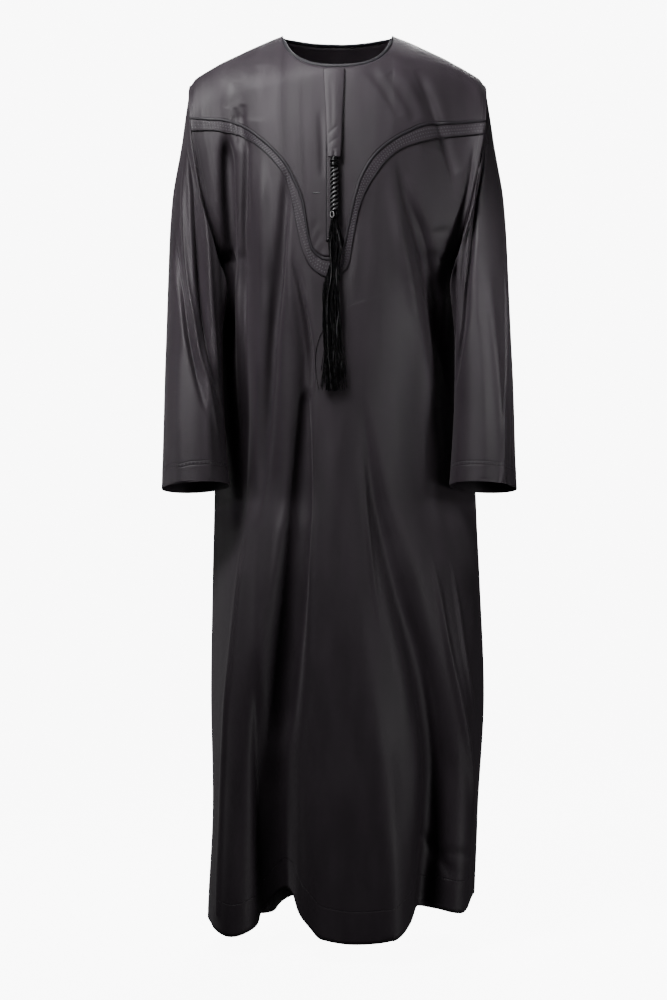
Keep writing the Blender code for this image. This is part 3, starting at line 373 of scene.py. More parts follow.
FINE_BACK_FOLDS = folds_of(Station, {
    "left shoulder trough": [
        (-0.182, -0.15, 0.006), (-0.174, -0.24, 0.007, -0.01), (-0.168, -0.36, 0.008, -0.011),
        (-0.162, -0.48, 0.008)],
    "right shoulder trough": [
        (0.184, -0.15, 0.006), (0.176, -0.23, 0.007, -0.01), (0.17, -0.34, 0.008, -0.011),
        (0.16, -0.5, 0.008)],
    "left blade ridge": [
        (-0.12, -0.16, 0.01), (-0.118, -0.3, 0.011, 0.004), (-0.108, -0.48, 0.011, 0.005),
        (-0.1, -0.64, 0.01)],
    "left inner trough": [
        (-0.07, -0.25, 0.008, 0, 0.2), (-0.072, -0.38, 0.009, -0.006, 0.2),
        (-0.066, -0.56, 0.01, -0.008, 0.2), (-0.06, -0.76, 0.01)],
    "right inner trough": [
        (0.086, -0.3, 0.008, 0, -0.2), (0.078, -0.43, 0.009, -0.007, -0.2),
        (0.066, -0.62, 0.01, -0.008, -0.2), (0.058, -0.78, 0.01)],
    "right blade ridge": [
        (0.118, -0.2, 0.009), (0.112, -0.34, 0.01, 0.004), (0.108, -0.52, 0.01, 0.004),
        (0.104, -0.68, 0.01)],
    "left skirt recess": [
        (-0.112, -0.7, 0.008, 0, 0.3), (-0.12, -0.86, 0.01, -0.01, 0.3),
        (-0.128, -1.1, 0.012, -0.014, 0.3), (-0.134, -1.43, 0.013, -0.016, 0.3)],
    "thin left ridge": [
        (-0.164, -0.78, 0.003), (-0.172, -0.96, 0.003, 0.003), (-0.184, -1.2, 0.003, 0.004),
        (-0.19, -1.43, 0.003, 0.003)],
    "middle skirt recess": [
        (-0.034, -0.66, 0.008, 0, -0.3), (-0.03, -0.84, 0.01, -0.009, -0.3),
        (-0.024, -1.12, 0.012, -0.014, -0.3), (-0.02, -1.43, 0.013, -0.016, -0.2)],
    "right skirt recess": [
        (0.082, -0.76, 0.008, 0, -0.3), (0.096, -0.96, 0.011, -0.011, -0.3),
        (0.106, -1.2, 0.013, -0.015, -0.3), (0.11, -1.43, 0.013, -0.016, -0.2)],
    "thin right ridge": [
        (0.148, -0.8, 0.003), (0.158, -1, 0.004, 0.004), (0.172, -1.24, 0.004, 0.005),
        (0.178, -1.4, 0.004)],
    "middle swell": [(0.03, -0.74, 0.018), (0.036, -1, 0.022, 0.005), (0.04, -1.43, 0.024, 0.006)],
})
BACK_CREASES = rows_of(Crease, [
    (-0.12, -0.06, -0.168, -0.25, 0.008, 0.008, -0.0035, 0.3),
    (0.128, -0.064, 0.172, -0.262, -0.008, 0.008, -0.0035, 0.3),
    (-0.06, -0.03, -0.094, -0.11, 0.004, 0.006, -0.0022, 0.2),
    (0.066, -0.032, 0.1, -0.118, -0.004, 0.006, -0.0022, 0.2),
    (-0.04, -0.12, -0.05, -0.52, 0.01, 0.016, -0.004, 0.2),
    (0.046, -0.15, 0.038, -0.56, -0.008, 0.015, -0.004, 0.2),
    (-0.088, -0.24, -0.1, -0.66, 0.006, 0.011, -0.005, -0.3),
    (0.096, -0.26, 0.088, -0.7, -0.006, 0.011, -0.005, 0.3),
    (-0.16, -0.7, -0.176, -1.3, 0.004, 0.009, 0.0045),
    (-0.076, -0.8, -0.078, -1.38, 0.006, 0.012, 0.005),
    (0.03, -0.76, 0.044, -1.38, -0.006, 0.014, 0.005),
    (0.14, -0.74, 0.156, -1.34, 0.004, 0.01, 0.005),
])

# Sleeve creases: along is a share of the length, and the angle is in degrees as for the folds
SleeveCrease = namedtuple("SleeveCrease", "along1 angle1 along2 angle2 bow width height skew",
                          defaults=(0,))
SLEEVE_CREASES = folds_of(SleeveCrease, {
    "left": [
        (0.5, 100, 0.97, 112, 0.002, 0.009, 0.003), (0.4, 232, 0.92, 224, 0.003, 0.009, -0.004, 0.2),
        (0.06, 330, 0.34, 320, 0.003, 0.008, -0.003, 0.2)],
    "right": [
        (0.4, 74, 0.96, 84, 0.002, 0.01, 0.0025), (0.36, 228, 0.9, 236, 0.003, 0.009, -0.004, 0.2),
        (0.05, 326, 0.36, 316, 0.003, 0.008, -0.003, 0.2)],
})
SLEEVE_LENGTH = 0.64
# The cloth rolls over the armhole seam and dips below it. Finer relief starts at nothing on the seam
SEAM_ROLL, SEAM_ROLL_AT, SEAM_ROLL_WIDTH = 0.0020, 0.014, 0.007
SEAM_DIP, SEAM_DIP_AT, SEAM_DIP_WIDTH = 0.0060, 0.034, 0.011
RELIEF_FADE = 16.0
FINE_SLEEVE_FOLDS = {
    "left": folds_of(SleeveStation, {
        "outer trough": [
            (0.33, 10, 0.007, 0, 0.3), (0.42, 24, 0.009, -0.007, 0.3), (0.5, 44, 0.01, -0.012, 0.4),
            (0.56, 58, 0.01, -0.013, 0.4), (0.64, 78, 0.01, -0.011, 0.4), (0.72, 96, 0.01, -0.005, 0.3),
            (0.79, 110, 0.01, 0, 0.3)],
        "outer ridge": [
            (0.16, 24, 0.006), (0.23, 24, 0.006, 0.004), (0.33, 34, 0.006, 0.006),
            (0.43, 50, 0.006, 0.0065), (0.5, 66, 0.006, 0.0065), (0.58, 84, 0.006, 0.006),
            (0.66, 106, 0.007, 0.005), (0.76, 124, 0.008, 0.003), (0.86, 136, 0.008)],
        "upper hollow": [
            (0.12, 34, 0.008, 0, 0.3), (0.18, 40, 0.01, -0.012, 0.3), (0.25, 48, 0.012, -0.016, 0.4),
            (0.33, 60, 0.013, -0.018, 0.4), (0.42, 76, 0.013, -0.017, 0.4), (0.5, 92, 0.012, -0.015, 0.4),
            (0.58, 109, 0.011, -0.013, 0.3), (0.66, 130, 0.01, -0.008, 0.3), (0.74, 146, 0.01, 0, 0.3)],
        "soft lower swell": [(0.5, 48, 0.012), (0.72, 54, 0.014, 0.004), (0.98, 60, 0.014, 0.003)],
        "back trough": [
            (0.08, 300, 0.006), (0.24, 288, 0.007, -0.009), (0.46, 272, 0.007, -0.01), (0.66, 256, 0.007)],
        "back ridge": [(0.2, 262, 0.005), (0.44, 246, 0.005, 0.005), (0.8, 236, 0.006)],
    }),
    "right": folds_of(SleeveStation, {
        "wide front trough": [
            (0.03, 42, 0.007, 0, -0.3), (0.09, 52, 0.009, -0.009, -0.3), (0.17, 63, 0.011, -0.013, -0.3),
            (0.275, 76, 0.012, -0.015, -0.3), (0.375, 98, 0.012, -0.014, -0.3),
            (0.46, 112, 0.012, -0.011, -0.3), (0.56, 138, 0.011, -0.006, -0.3),
            (0.64, 150, 0.01, 0, -0.3)],
        "thin ridge": [
            (0.03, 72, 0.004), (0.08, 82, 0.004, 0.003), (0.14, 96, 0.004, 0.0036),
            (0.23, 108, 0.004, 0.002), (0.3, 122, 0.004)],
        "inner hollow": [
            (0.16, 118, 0.009), (0.234, 124, 0.01, -0.01), (0.281, 128, 0.011, -0.013),
            (0.328, 134, 0.011, -0.013), (0.4, 142, 0.01, -0.009), (0.48, 150, 0.009)],
        "pressed edge": [
            (0.4, 10, 0.003), (0.46, 13, 0.003, 0.0025), (0.56, 20, 0.003, 0.003),
            (0.7, 34, 0.003, 0.003), (0.8, 47, 0.003, 0.003), (0.9, 53, 0.003, 0.003),
            (1, 58, 0.003, 0.003)],
        "side trough": [
            (0.3, -10, 0.01), (0.5, -8, 0.011, -0.005), (0.75, 8, 0.011, -0.005), (1, 30, 0.011, -0.004)],
        "back trough": [
            (0.06, 296, 0.006), (0.26, 276, 0.007, -0.01), (0.5, 262, 0.007, -0.008), (0.7, 250, 0.007)],
        "back ridge": [(0.16, 300, 0.005), (0.4, 292, 0.005, 0.005), (0.74, 284, 0.006)],
    }),
}

# How pointed the folds' sections are, of troughs and of ridges: 2 is evenly round
ROUND_FOLDS = (2.0, 2.0)
POINTED_FOLDS = (1.7, 1.9)

# Soft unevenness of the whole cloth, with smaller lumps that lie this many times closer on the body
SWELL_HEIGHT = 0.0011
SWELL_WIDE, SWELL_TALL = 0.045, 0.140
SMALL_SWELL_ACROSS, SMALL_SWELL_DOWN, SMALL_SWELL_SHARE = 2.6, 2.2, 0.4
SLEEVE_SWELL_ROUND, SLEEVE_SWELL_ALONG = 1.4, 4.6
SWELL_SEEDS = {"front": 3.0, "back": 7.0, "left": 12.0, "right": 15.0}
SMALL_SWELL_SEED = 9.0

# Sewing. The placket sinks into the front from a share of its width
SINK, SINK_FROM = 0.0003, 0.35
PLACKET_LEFT, PLACKET_RIGHT, PLACKET_TOP, PLACKET_FOOT = -0.0172, 0.0130, -0.0705, -0.344
PLACKET_COLUMNS, PLACKET_ROWS = 14, 90
HEM_STITCH = 0.050
ZIGZAG_LENGTH, ZIGZAG_PITCH, ZIGZAG_THICK, ZIGZAG_TURN = 0.0052, 0.0062, 0.0005, 52
CUFF_STITCHES = (0.026, 0.032)
ARMHOLE_STITCH = 0.007
STITCH_LENGTH, STITCH_PITCH, STITCH_THICK = 0.0024, 0.0034, 0.0006
STITCH_SIDES, STITCH_RINGS = 6, 4
# How much thinner a stitch is at its ends, and how far it stands out, as shares of its thickness
STITCH_TAPER, STITCH_LIFT = 1.2, 0.1
# How far the pointed end of a tube reaches past its path, as a share of its radius
TUBE_POINT = 0.6
TUBE_SIDES = 8
# A tube's first side faces Y, or X where the share of its run that goes along Y is more than this
MOSTLY_ALONG_Y = 0.9


def curve(rows, key, name, at):
    """A smooth curve through one column of a table, held level past its ends."""
    keys = np.array([getattr(row, key) for row in rows], float)
    values = np.array([getattr(row, name) for row in rows], float)
    if keys[0] > keys[-1]:
        keys, values = keys[::-1], values[::-1]
    at = np.clip(at, keys[0], keys[-1])
    i = np.clip(np.searchsorted(keys, at, side="right") - 1, 0, len(keys) - 2)
    steps = np.diff(values) / np.diff(keys)
    slopes = np.zeros(len(keys))
    if len(keys) == 2:
        slopes[:] = steps[0]
    before, after = steps[:-1], steps[1:]
    same = before * after > 0
    slopes[1:-1][same] = 2 * before[same] * after[same] / (before[same] + after[same])
    span = keys[i + 1] - keys[i]
    t = (at - keys[i]) / span
    ease = t * t * (3 - 2 * t)
    lean = t * (1 - t) ** 2 * slopes[i] - t * t * (1 - t) * slopes[i + 1]
    return values[i] * (1 - ease) + values[i + 1] * ease + lean * span


def unit(vectors):
    length = np.linalg.norm(vectors, axis=-1, keepdims=True)
    return vectors / np.maximum(length, 1e-12)


def shoulder_z(x):
    return curve(SHOULDER_LINE, "x", "z", np.abs(x))


def top_z(x, drop):
    """The height of the neck's edge, and of the shoulder seam past it."""
    inside = np.maximum(1.0 - (np.abs(x) / NECK_HALF_WIDTH) ** NECK_ROUNDNESS, 0.0)
    return np.where(np.abs(x) < NECK_HALF_WIDTH, -drop * np.sqrt(inside), shoulder_z(x))


def armhole_depth(z, depth, top=SHOULDER_Z):
    """How far the armhole's edge lies in front of or behind the side, at this height."""
    share = np.clip((top - z) / (top - UNDERARM_Z), 0.0, 1.0)
    return depth * np.sin(np.arccos(1.0 - 2.0 * share))


def body_surface(across, z, front):
    """Points of the body's plain cloth. across runs from -1 at the viewer's left edge to 1."""
    across, z = np.broadcast_arrays(np.asarray(across, float), np.asarray(z, float))
    depth = curve(BODY_SECTIONS, "z", "front" if front else "back", z)
    corner = curve(BODY_SECTIONS, "z", "corner", z) if front else BACK_CORNER
    edge = curve(BODY_SECTIONS, "z", "side", z)
    x = column_x(across, z)
    top = np.maximum(shoulder_z(x), SHOULDER_Z)
    armhole = armhole_depth(z, -ARMHOLE_FRONT if front else ARMHOLE_BACK, top)
    outward = np.clip((np.abs(x) - ROUND_FROM) / (ROUND_TO - ROUND_FROM), 0.0, 1.0)
    rounding = NECK_ROUND + (SHOULDER_ROUND - NECK_ROUND) * outward
    power = NECK_POWER + (SHOULDER_POWER - NECK_POWER) * outward
    drop = np.clip((shoulder_z(x) - z) / rounding, 0.0, 1.0)
    swell = np.maximum(1.0 - np.abs(across) ** BODY_ROUNDNESS, 0.0) ** corner
    swell = swell * np.sin(np.pi / 2 * drop) ** power
    y = edge + (depth - edge) * swell + armhole * (1.0 - swell) * np.abs(across) ** ARMHOLE_FADE
    folds = FRONT_FOLDS if front else BACK_FOLDS
    height = folds_height(folds, "z", "x", z, lambda middle: x - middle, ROUND_FOLDS)
    height = height * np.minimum((1.0 - across * across) * FOLD_SIDE_FADE, 1.0)
    out = np.arcsin(np.clip(across, -1.0, 1.0))
    facing = -1.0 if front else 1.0
    x = x + FOLD_SIDEWAYS * height * np.sin(out)
    return np.stack([x, y + facing * height * np.cos(out), z], axis=-1)


def column_x(across, z):
    half_width = curve(BODY_SECTIONS, "z", "half_width", z)
    return curve(BODY_SECTIONS, "z", "centre", z) + half_width * across


def folds_height(folds, key, name, place, aside_from, sharpness):
    """The height of a table's folds at each place. aside_from measures the way from a fold's middle."""
    total = np.zeros(np.broadcast(place, aside_from(0.0)).shape)
    for stations in folds.values():
        first, last = sorted((getattr(stations[0], key), getattr(stations[-1], key)))
        aside = aside_from(curve(stations, key, name, place))
        width, height, lean = (curve(stations, key, column, place) for column in ("width", "height", "lean"))
        reach = width * np.where(aside > 0, 1.0 + lean, 1.0 - lean)
        power = np.where(height < 0, *sharpness)
        inside = (place >= first) & (place <= last)
        total += np.where(inside, height * np.exp(-np.abs(aside / reach) ** power), 0.0)
    return total


def crease_relief(creases, x, z):
    """How far the creases of a table stand out of the cloth at each place."""
    x, z = np.broadcast_arrays(x, z)
    total = np.zeros(x.shape)
    for x1, z1, x2, z2, bow, width, height, skew in creases:
        dx, dz = x2 - x1, z2 - z1
        length = math.hypot(dx, dz)
        along = ((x - x1) * dx + (z - z1) * dz) / length ** 2
        taper = np.clip(4.0 * along * (1.0 - along), 0.0, 1.0)
        aside = ((z - z1) * dx - (x - x1) * dz) / length - bow * taper
        lean = np.where(aside > 0, 1.0 + skew, 1.0 - skew)
        total += height * np.sqrt(taper) * np.exp(-(aside / (width * lean)) ** 2)
    return total


def swell_noise(x, z, seed):
    """Soft lumps, taller than they are wide, as a worn cloth has everywhere."""
    flat = [noise.noise(Vector((a / SWELL_WIDE, b / SWELL_TALL, seed))) for a, b in zip(x.flat, z.flat)]
    across, down = SMALL_SWELL_ACROSS / SWELL_WIDE, SMALL_SWELL_DOWN / SWELL_TALL
    small = [noise.noise(Vector((a * across, b * down, seed + SMALL_SWELL_SEED)))
             for a, b in zip(x.flat, z.flat)]
    return SWELL_HEIGHT * (np.array(flat) + SMALL_SWELL_SHARE * np.array(small)).reshape(x.shape)


def body_cloth(across, z, front):
    """The finished outer surface of the body, with the direction in which it faces."""
    across, z = np.broadcast_arrays(np.asarray(across, float), np.asarray(z, float))
    step = np.where(across > 0, -TINY, TINY)

    def relief(place, height):
        x = column_x(place, height)
        raised = crease_relief(FRONT_CREASES if front else BACK_CREASES, x, height)
        folds = FINE_FRONT_FOLDS if front else FINE_BACK_FOLDS
        raised = raised + folds_height(folds, "z", "x", height, lambda middle: x - middle, POINTED_FOLDS)
        raised = raised + swell_noise(x, height, SWELL_SEEDS["front" if front else "back"])
        return raised * np.minimum((1.0 - place * place) * FOLD_SIDE_FADE, 1.0)

    here = body_surface(across, z, front)
    aside = (body_surface(across + step, z, front) - here) / step[..., None]
    down = (body_surface(across, z - TINY, front) - here) / TINY
    normal = unit(np.cross(down, aside) if front else np.cross(aside, down))
    height = relief(across, z)
    surface = here + normal * height[..., None]
    aside = aside + normal * ((relief(across + step, z) - height) / step)[..., None]
    down = down + normal * ((relief(across, z - TINY) - height) / TINY)[..., None]
    return surface, unit(np.cross(down, aside) if front else np.cross(aside, down))


def column_places(neck_columns, side_columns):
    """Places across a panel, from -1 to 1, with one column on each high point of the neck."""
    corner = math.asin(NECK_HALF_WIDTH / SHOULDER_HALF_WIDTH)
    half = neck_columns // 2
    middle = [corner * math.sin(math.pi / 2 * i / half) for i in range(-half, half + 1)]
    step = (math.pi / 2 - corner) / side_columns
    side = [corner + step * i for i in range(1, side_columns)]
    angles = [-angle for angle in reversed(side)] + middle + side
    return np.array([-1.0] + [math.sin(angle) for angle in angles] + [1.0])


def stretch(top, foot, rows, first=False):
    """Heights of the rows of each column from its top to its foot, without the top unless first."""
    shares = np.linspace(0.0, 1.0, rows + 1)[0 if first else 1:]
    return top[:, None] + (foot - top)[:, None] * shares[None, :]


def front_heights(across):
    top = top_z(SHOULDER_HALF_WIDTH * across, FRONT_NECK_DROP)
    seam = curve(YOKE_SEAM, "x", "z", column_x(across, YOKE_LEVEL))
    band = curve(BAND_EDGE, "x", "z", column_x(across, BAND_LEVEL))
    chest = UNDERARM_Z - CHEST_CENTRE_DROP * (1.0 - across * across)
    hem = curve(FRONT_HEM, "x", "z", column_x(across, HEM_LEVEL))
    parts = [stretch(top, seam, YOKE_ROWS, first=True), stretch(seam, band, BAND_ROWS)]
    parts += [stretch(band, chest, CHEST_ROWS), stretch(chest, hem, SKIRT_ROWS)]
    return np.concatenate(parts, axis=1)


def back_heights(across):
    top = top_z(SHOULDER_HALF_WIDTH * across, BACK_NECK_DROP)
    underarm = np.full_like(across, UNDERARM_Z)
    hem = curve(BACK_HEM, "x", "z", column_x(across, HEM_LEVEL))
    return np.concatenate([stretch(top, underarm, BACK_TOP_ROWS, first=True),
                           stretch(underarm, hem, SKIRT_ROWS)], axis=1)


def sleeve_ring(side, angle, along):
    """Points of the sleeve's plain tube, at these shares of its length."""
    row = {name: curve(SLEEVE_SECTIONS, "along", name, along) for name in SleeveSection._fields[1:]}
    turn = np.radians(angle)
    swing = np.cos(turn)
    x = (row["outer_x"] + row["inner_x"]) / 2 + SLEEVE_LEAN[side] * along
    x = x + (row["outer_x"] - row["inner_x"]) / 2 * swing - row["skew"] * np.sin(turn)
    z = (row["outer_z"] + row["inner_z"]) / 2 + (row["outer_z"] - row["inner_z"]) / 2 * swing
    y = (row["front"] + row["back"]) / 2 - (row["back"] - row["front"]) / 2 * np.sin(turn)
    z = z + CUFF_TILT * along * np.sin(turn)
    x, y, z = np.broadcast_arrays(x, y, z)
    return np.stack([x if side == "right" else -x, y, z], axis=-1)


def turned_from(angle, middle):
    """The way round the sleeve from a fold's middle, in metres."""
    return np.radians((angle - middle + 180.0) % 360.0 - 180.0) * SLEEVE_RADIUS


def sleeve_relief(side, angle, along):
    total = np.zeros(np.broadcast(angle, along).shape)
    for row in SLEEVE_CREASES[side]:
        start, end = row.along1 * SLEEVE_LENGTH, row.along2 * SLEEVE_LENGTH
        swing = math.radians(row.angle2 - row.angle1) * SLEEVE_RADIUS
        crease = Crease(0.0, -start, swing, -end, row.bow, row.width, row.height, row.skew)
        total += crease_relief([crease], turned_from(angle, row.angle1), -along * SLEEVE_LENGTH)
    total += folds_height(FINE_SLEEVE_FOLDS[side], "along", "angle", along,
                          lambda middle: turned_from(angle, middle), POINTED_FOLDS)
    beyond = along * SLEEVE_LENGTH * np.ones_like(angle)
    turn = np.radians(angle)
    total += SEAM_ROLL * np.exp(-((beyond - SEAM_ROLL_AT) / SEAM_ROLL_WIDTH) ** 2)
    dip = SEAM_DIP * np.exp(-((beyond - SEAM_DIP_AT) / SEAM_DIP_WIDTH) ** 2)
    total -= dip * np.maximum(np.sin(turn), 0.0)
    start = SWELL_SEEDS[side]
    places = zip((np.cos(turn) * np.ones_like(along)).flat, (np.sin(turn) * np.ones_like(along)).flat,
                 (along * np.ones_like(angle)).flat)
    lumps = [noise.noise(Vector((SLEEVE_SWELL_ROUND * a + start, SLEEVE_SWELL_ROUND * b,
                                 SLEEVE_SWELL_ALONG * c))) for a, b, c in places]
    return total + SWELL_HEIGHT * np.array(lumps).reshape(total.shape)


def lengths_along(points):
    """The length of a line up to each of its points."""
    return np.concatenate([[0.0], np.cumsum(np.linalg.norm(np.diff(points, axis=0), axis=1))])


def share_of_length(points):
    lengths = lengths_along(points)
    return lengths / lengths[-1]


def sampled(places, lengths, values):
    """A line's points or directions at these lengths along it."""
    return np.stack([np.interp(places, lengths, values[:, k]) for k in range(3)], axis=-1)


def sleeve_points(side, front_edge, back_edge):
    """Columns round the sleeve that start on the armhole's own points. Both edges run downwards."""
    ring = np.concatenate([front_edge, back_edge[-2:0:-1]])
    angles = np.concatenate([180.0 * share_of_length(front_edge),
                             (360.0 - 180.0 * share_of_length(back_edge))[-2:0:-1]])
    angle = angles[:, None]
    along = np.linspace(0.0, 1.0, SLEEVE_ROWS + 1)[None, :]
    offset = ring - sleeve_ring(side, angles, np.zeros_like(angles))
    fade = np.maximum(1.0 - along / RING_FADE, 0.0) ** 2
    points = sleeve_ring(side, angle, along) + offset[:, None, :] * fade[..., None]
    middle = (sleeve_ring(side, 0.0, along) + sleeve_ring(side, 180.0, along)) / 2
    middle[..., 1] = (sleeve_ring(side, 90.0, along)[..., 1] + sleeve_ring(side, 270.0, along)[..., 1]) / 2
    out = points - middle
    out[..., 2] = 0.0
    out = unit(out)
    height = folds_height(SLEEVE_FOLDS[side], "along", "angle", along,
                          lambda middle: turned_from(angle, middle), ROUND_FOLDS)
    height = height + sleeve_relief(side, angle, along) * np.minimum(along * RELIEF_FADE, 1.0)
    height[:, 0] = 0.0
    return points + out * height[..., None]


class Cloth:
    """A grid of points on one piece of cloth: columns across it, rows down it."""

    def __init__(self, points, runs_right, closed=False):
        self.points = points
        self.closed = closed
        self.runs_right = runs_right
        steps = np.linalg.norm(np.diff(points, axis=1), axis=2)
        up = np.concatenate([np.zeros((len(points), 1)), np.cumsum(steps[:, ::-1], axis=1)], axis=1)
        self.up = up[:, ::-1]
        ring = np.concatenate([points, points[:1]]) if closed else points
        steps = np.linalg.norm(np.diff(ring, axis=0), axis=2)
        self.across = np.concatenate([np.zeros((1, points.shape[1])), np.cumsum(steps, axis=0)])
        down = np.gradient(points, axis=1)
        if closed:
            aside = np.roll(points, -1, axis=0) - np.roll(points, 1, axis=0)
        else:
            aside = np.gradient(points, axis=0)
        facing = 1.0 if runs_right else -1.0
        self.normals = unit(np.cross(down, aside)) * facing

    def part(self, first, last, columns=slice(None), lift=0.0):
        """The part between two rows, with the same measures, raised off the cloth by lift."""
        part = copy(self)
        block = (columns, slice(first, last + 1))
        part.points = self.points[block] + self.normals[block] * lift
        part.normals = self.normals[block]
        part.up = self.up[block]
        part.across = self.across[block]
        return part

    def line_up_from_foot(self, distance):
        """The points and directions of a line at a distance up from the lowest row."""
        columns = list(range(len(self.points))) + ([0] if self.closed else [])
        points, normals = (np.array([sampled(distance, self.up[i, ::-1], values[i, ::-1]) for i in columns])
                           for values in (self.points, self.normals))
        return points, unit(normals)

    def line_beside(self, distance, from_end=False):
        """The points and directions of a line down the grid, at a distance in from its side."""
        points, normals, across = self.points, self.normals, self.across[:len(self.points)]
        if from_end:
            points, normals = points[::-1], normals[::-1]
            across = (across[-1] - across)[::-1]
        rows = range(points.shape[1])
        points, normals = (np.array([sampled(distance, across[:, j], values[:, j]) for j in rows])
                           for values in (points, normals))
        return points, unit(normals)


def select_only(item):
    bpy.ops.object.select_all(action="DESELECT")
    item.select_set(True)
    bpy.context.view_layer.objects.active = item


def mesh_object(name, points, faces, uvs=None):
    mesh = bpy.data.meshes.new(name)
    mesh.from_pydata(np.asarray(points, float).tolist(), [], faces)
    mesh.polygons.foreach_set("use_smooth", np.full(len(mesh.polygons), True))
    if uvs is not None:
        layer = mesh.uv_layers.new(name="cloth")
        layer.data.foreach_set("uv", np.asarray(uvs, np.float32).ravel())
    mesh.update()
    item = bpy.data.objects.new(name, mesh)
    bpy.context.collection.objects.link(item)
    return item


def cloth_object(name, cloth, material, wall=WALL):
    """A sheet with its wall on the inner side, and the cloth's own measures as its UV map."""
    columns, rows = cloth.points.shape[:2]
    spans = columns if cloth.closed else columns - 1
    i, j = np.meshgrid(np.arange(spans), np.arange(rows - 1), indexing="ij")
    i, j = i.ravel(), j.ravel()
    after = (i + 1) % columns
    corners = [(i, i, j), (i, i, j + 1), (after, i + 1, j + 1), (after, i + 1, j)]
    if not cloth.runs_right:
        corners = corners[::-1]
    faces = np.stack([c * rows + r for c, _, r in corners], axis=1)
    places = [np.stack([cloth.across[a, r], cloth.up[c, r]], axis=1) for c, a, r in corners]
    uvs = np.stack(places, axis=1)
    item = mesh_object(name, cloth.points.reshape(-1, 3), faces.tolist(), uvs)
    thicken(item, wall)
    return dress(item, material)


def thicken(item, wall):
    select_only(item)
    solid = item.modifiers.new("wall", "SOLIDIFY")
    solid.thickness = wall
    solid.offset = -1.0
    solid.use_quality_normals = True
    bpy.ops.object.modifier_apply(modifier=solid.name)


def dress(item, material):
    item.data.materials.clear()
    item.data.materials.append(material)
    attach(item, "root")
    return item


def resampled(points, normals, pitch):
    """Places evenly spaced along a line, with their directions and the line's run there."""
    lengths = lengths_along(points)
    places = np.arange(pitch / 2, lengths[-1], pitch)
    ahead, behind = (sampled(places + step, lengths, points) for step in (pitch / 3, -pitch / 3))
    return sampled(places, lengths, points), unit(sampled(places, lengths, normals)), unit(ahead - behind)


def joined_object(name, forms, material):
    """Many small forms, each its points and faces, as one piece."""
    points, faces = [], []
    for form_points, form_faces in forms:
        base = len(points)
        points.extend(form_points)
        faces.extend([tuple(base + corner for corner in face) for face in form_faces])
    return dress(mesh_object(name, points, faces), material)


def one_stitch():
    """A short thread that rounds down into the cloth at both ends, along X, with Z outwards."""
    bpy.ops.object.select_all(action="DESELECT")
    bpy.ops.mesh.primitive_uv_sphere_add(segments=STITCH_SIDES, ring_count=STITCH_RINGS, radius=0.5,
                                         rotation=(0, math.pi / 2, 0))
    item = bpy.context.active_object
    bpy.ops.object.transform_apply(location=True, rotation=True, scale=True)
    mesh = item.data
    corners = np.array([vert.co[:] for vert in mesh.vertices])
    corners[:, 2] *= 1.0 - STITCH_TAPER * np.abs(corners[:, 0])
    faces = [tuple(polygon.vertices) for polygon in mesh.polygons]
    bpy.data.objects.remove(item, do_unlink=True)
    return corners, faces


STITCH_FORM, STITCH_FACES = one_stitch()


def stitches(name, lines, material, length=STITCH_LENGTH, pitch=STITCH_PITCH, thick=STITCH_THICK, turn=0.0):
    """Rows of stitches laid on the cloth along lines of points and directions."""
    threads = []
    form = STITCH_FORM * (length, thick, thick)
    for path, normals in lines:
        spots, facing, run = resampled(path, normals, pitch)
        side = unit(np.cross(facing, run))
        run = run * math.cos(turn) + side * math.sin(turn)
        side = unit(np.cross(facing, run))
        for spot, n, r, s in zip(spots, facing, run, side):
            threads.append((spot + n * thick * STITCH_LIFT + form @ np.array([r, s, n]), STITCH_FACES))
    return joined_object(name, threads, material)


def tube(path, radius, sides=TUBE_SIDES, closed=False, facing=None, flat=1.0):
    """A tube along a path, pointed at open ends. facing turns the side that flat presses flat."""
    path = np.asarray(path, float)
    count = len(path)
    radii = np.broadcast_to(radius, (count,))
    if closed:
        run = unit(np.roll(path, -1, axis=0) - np.roll(path, 1, axis=0))
    else:
        run = unit(np.gradient(path, axis=0))
    side = np.zeros_like(path)
    start = np.array([0.0, 1.0, 0.0] if abs(run[0][1]) < MOSTLY_ALONG_Y else [1.0, 0.0, 0.0])
    for i in range(count):
        start = facing[i] if facing is not None else start
        start = start - run[i] * start.dot(run[i])
        start = start / np.linalg.norm(start)
        side[i] = start
    over = np.cross(run, side)
    angles = np.arange(sides) * math.tau / sides
    ring = side[:, None] * flat * np.cos(angles)[None, :, None]
    ring = ring + over[:, None] * np.sin(angles)[None, :, None]
    points = (path[:, None] + ring * radii[:, None, None]).reshape(-1, 3)
    spans = count if closed else count - 1
    faces = []
    for i in range(spans):
        after = (i + 1) % count
        for k in range(sides):
            b = (k + 1) % sides
            faces.append((i * sides + k, i * sides + b, after * sides + b, after * sides + k))
    points = points.tolist()
    if not closed:
        points.append((path[0] - run[0] * radii[0] * TUBE_POINT).tolist())
        points.append((path[-1] + run[-1] * radii[-1] * TUBE_POINT).tolist())
        first, last = len(points) - 2, len(points) - 1
        for k in range(sides):
            b = (k + 1) % sides
            faces.append((first, b, k))
            faces.append((last, (count - 1) * sides + k, (count - 1) * sides + b))
    return points, faces


def front_patch(left, right, top, foot, columns, rows, lift):
    """A strip that lies on the front between two sides and sinks into the front at the right one."""
    shares = np.linspace(0.0, 1.0, columns)[:, None]
    z = np.linspace(top, foot, rows)[None, :] * np.ones((columns, 1))
    x = left + (right - left) * shares
    across = (x - curve(BODY_SECTIONS, "z", "centre", z)) / curve(BODY_SECTIONS, "z", "half_width", z)
    points, normals = body_cloth(across, z, True)
    lift = lift - (lift + SINK) * np.maximum(shares - SINK_FROM, 0.0) / (1.0 - SINK_FROM)
    return Cloth(points + normals * lift[..., None], True)


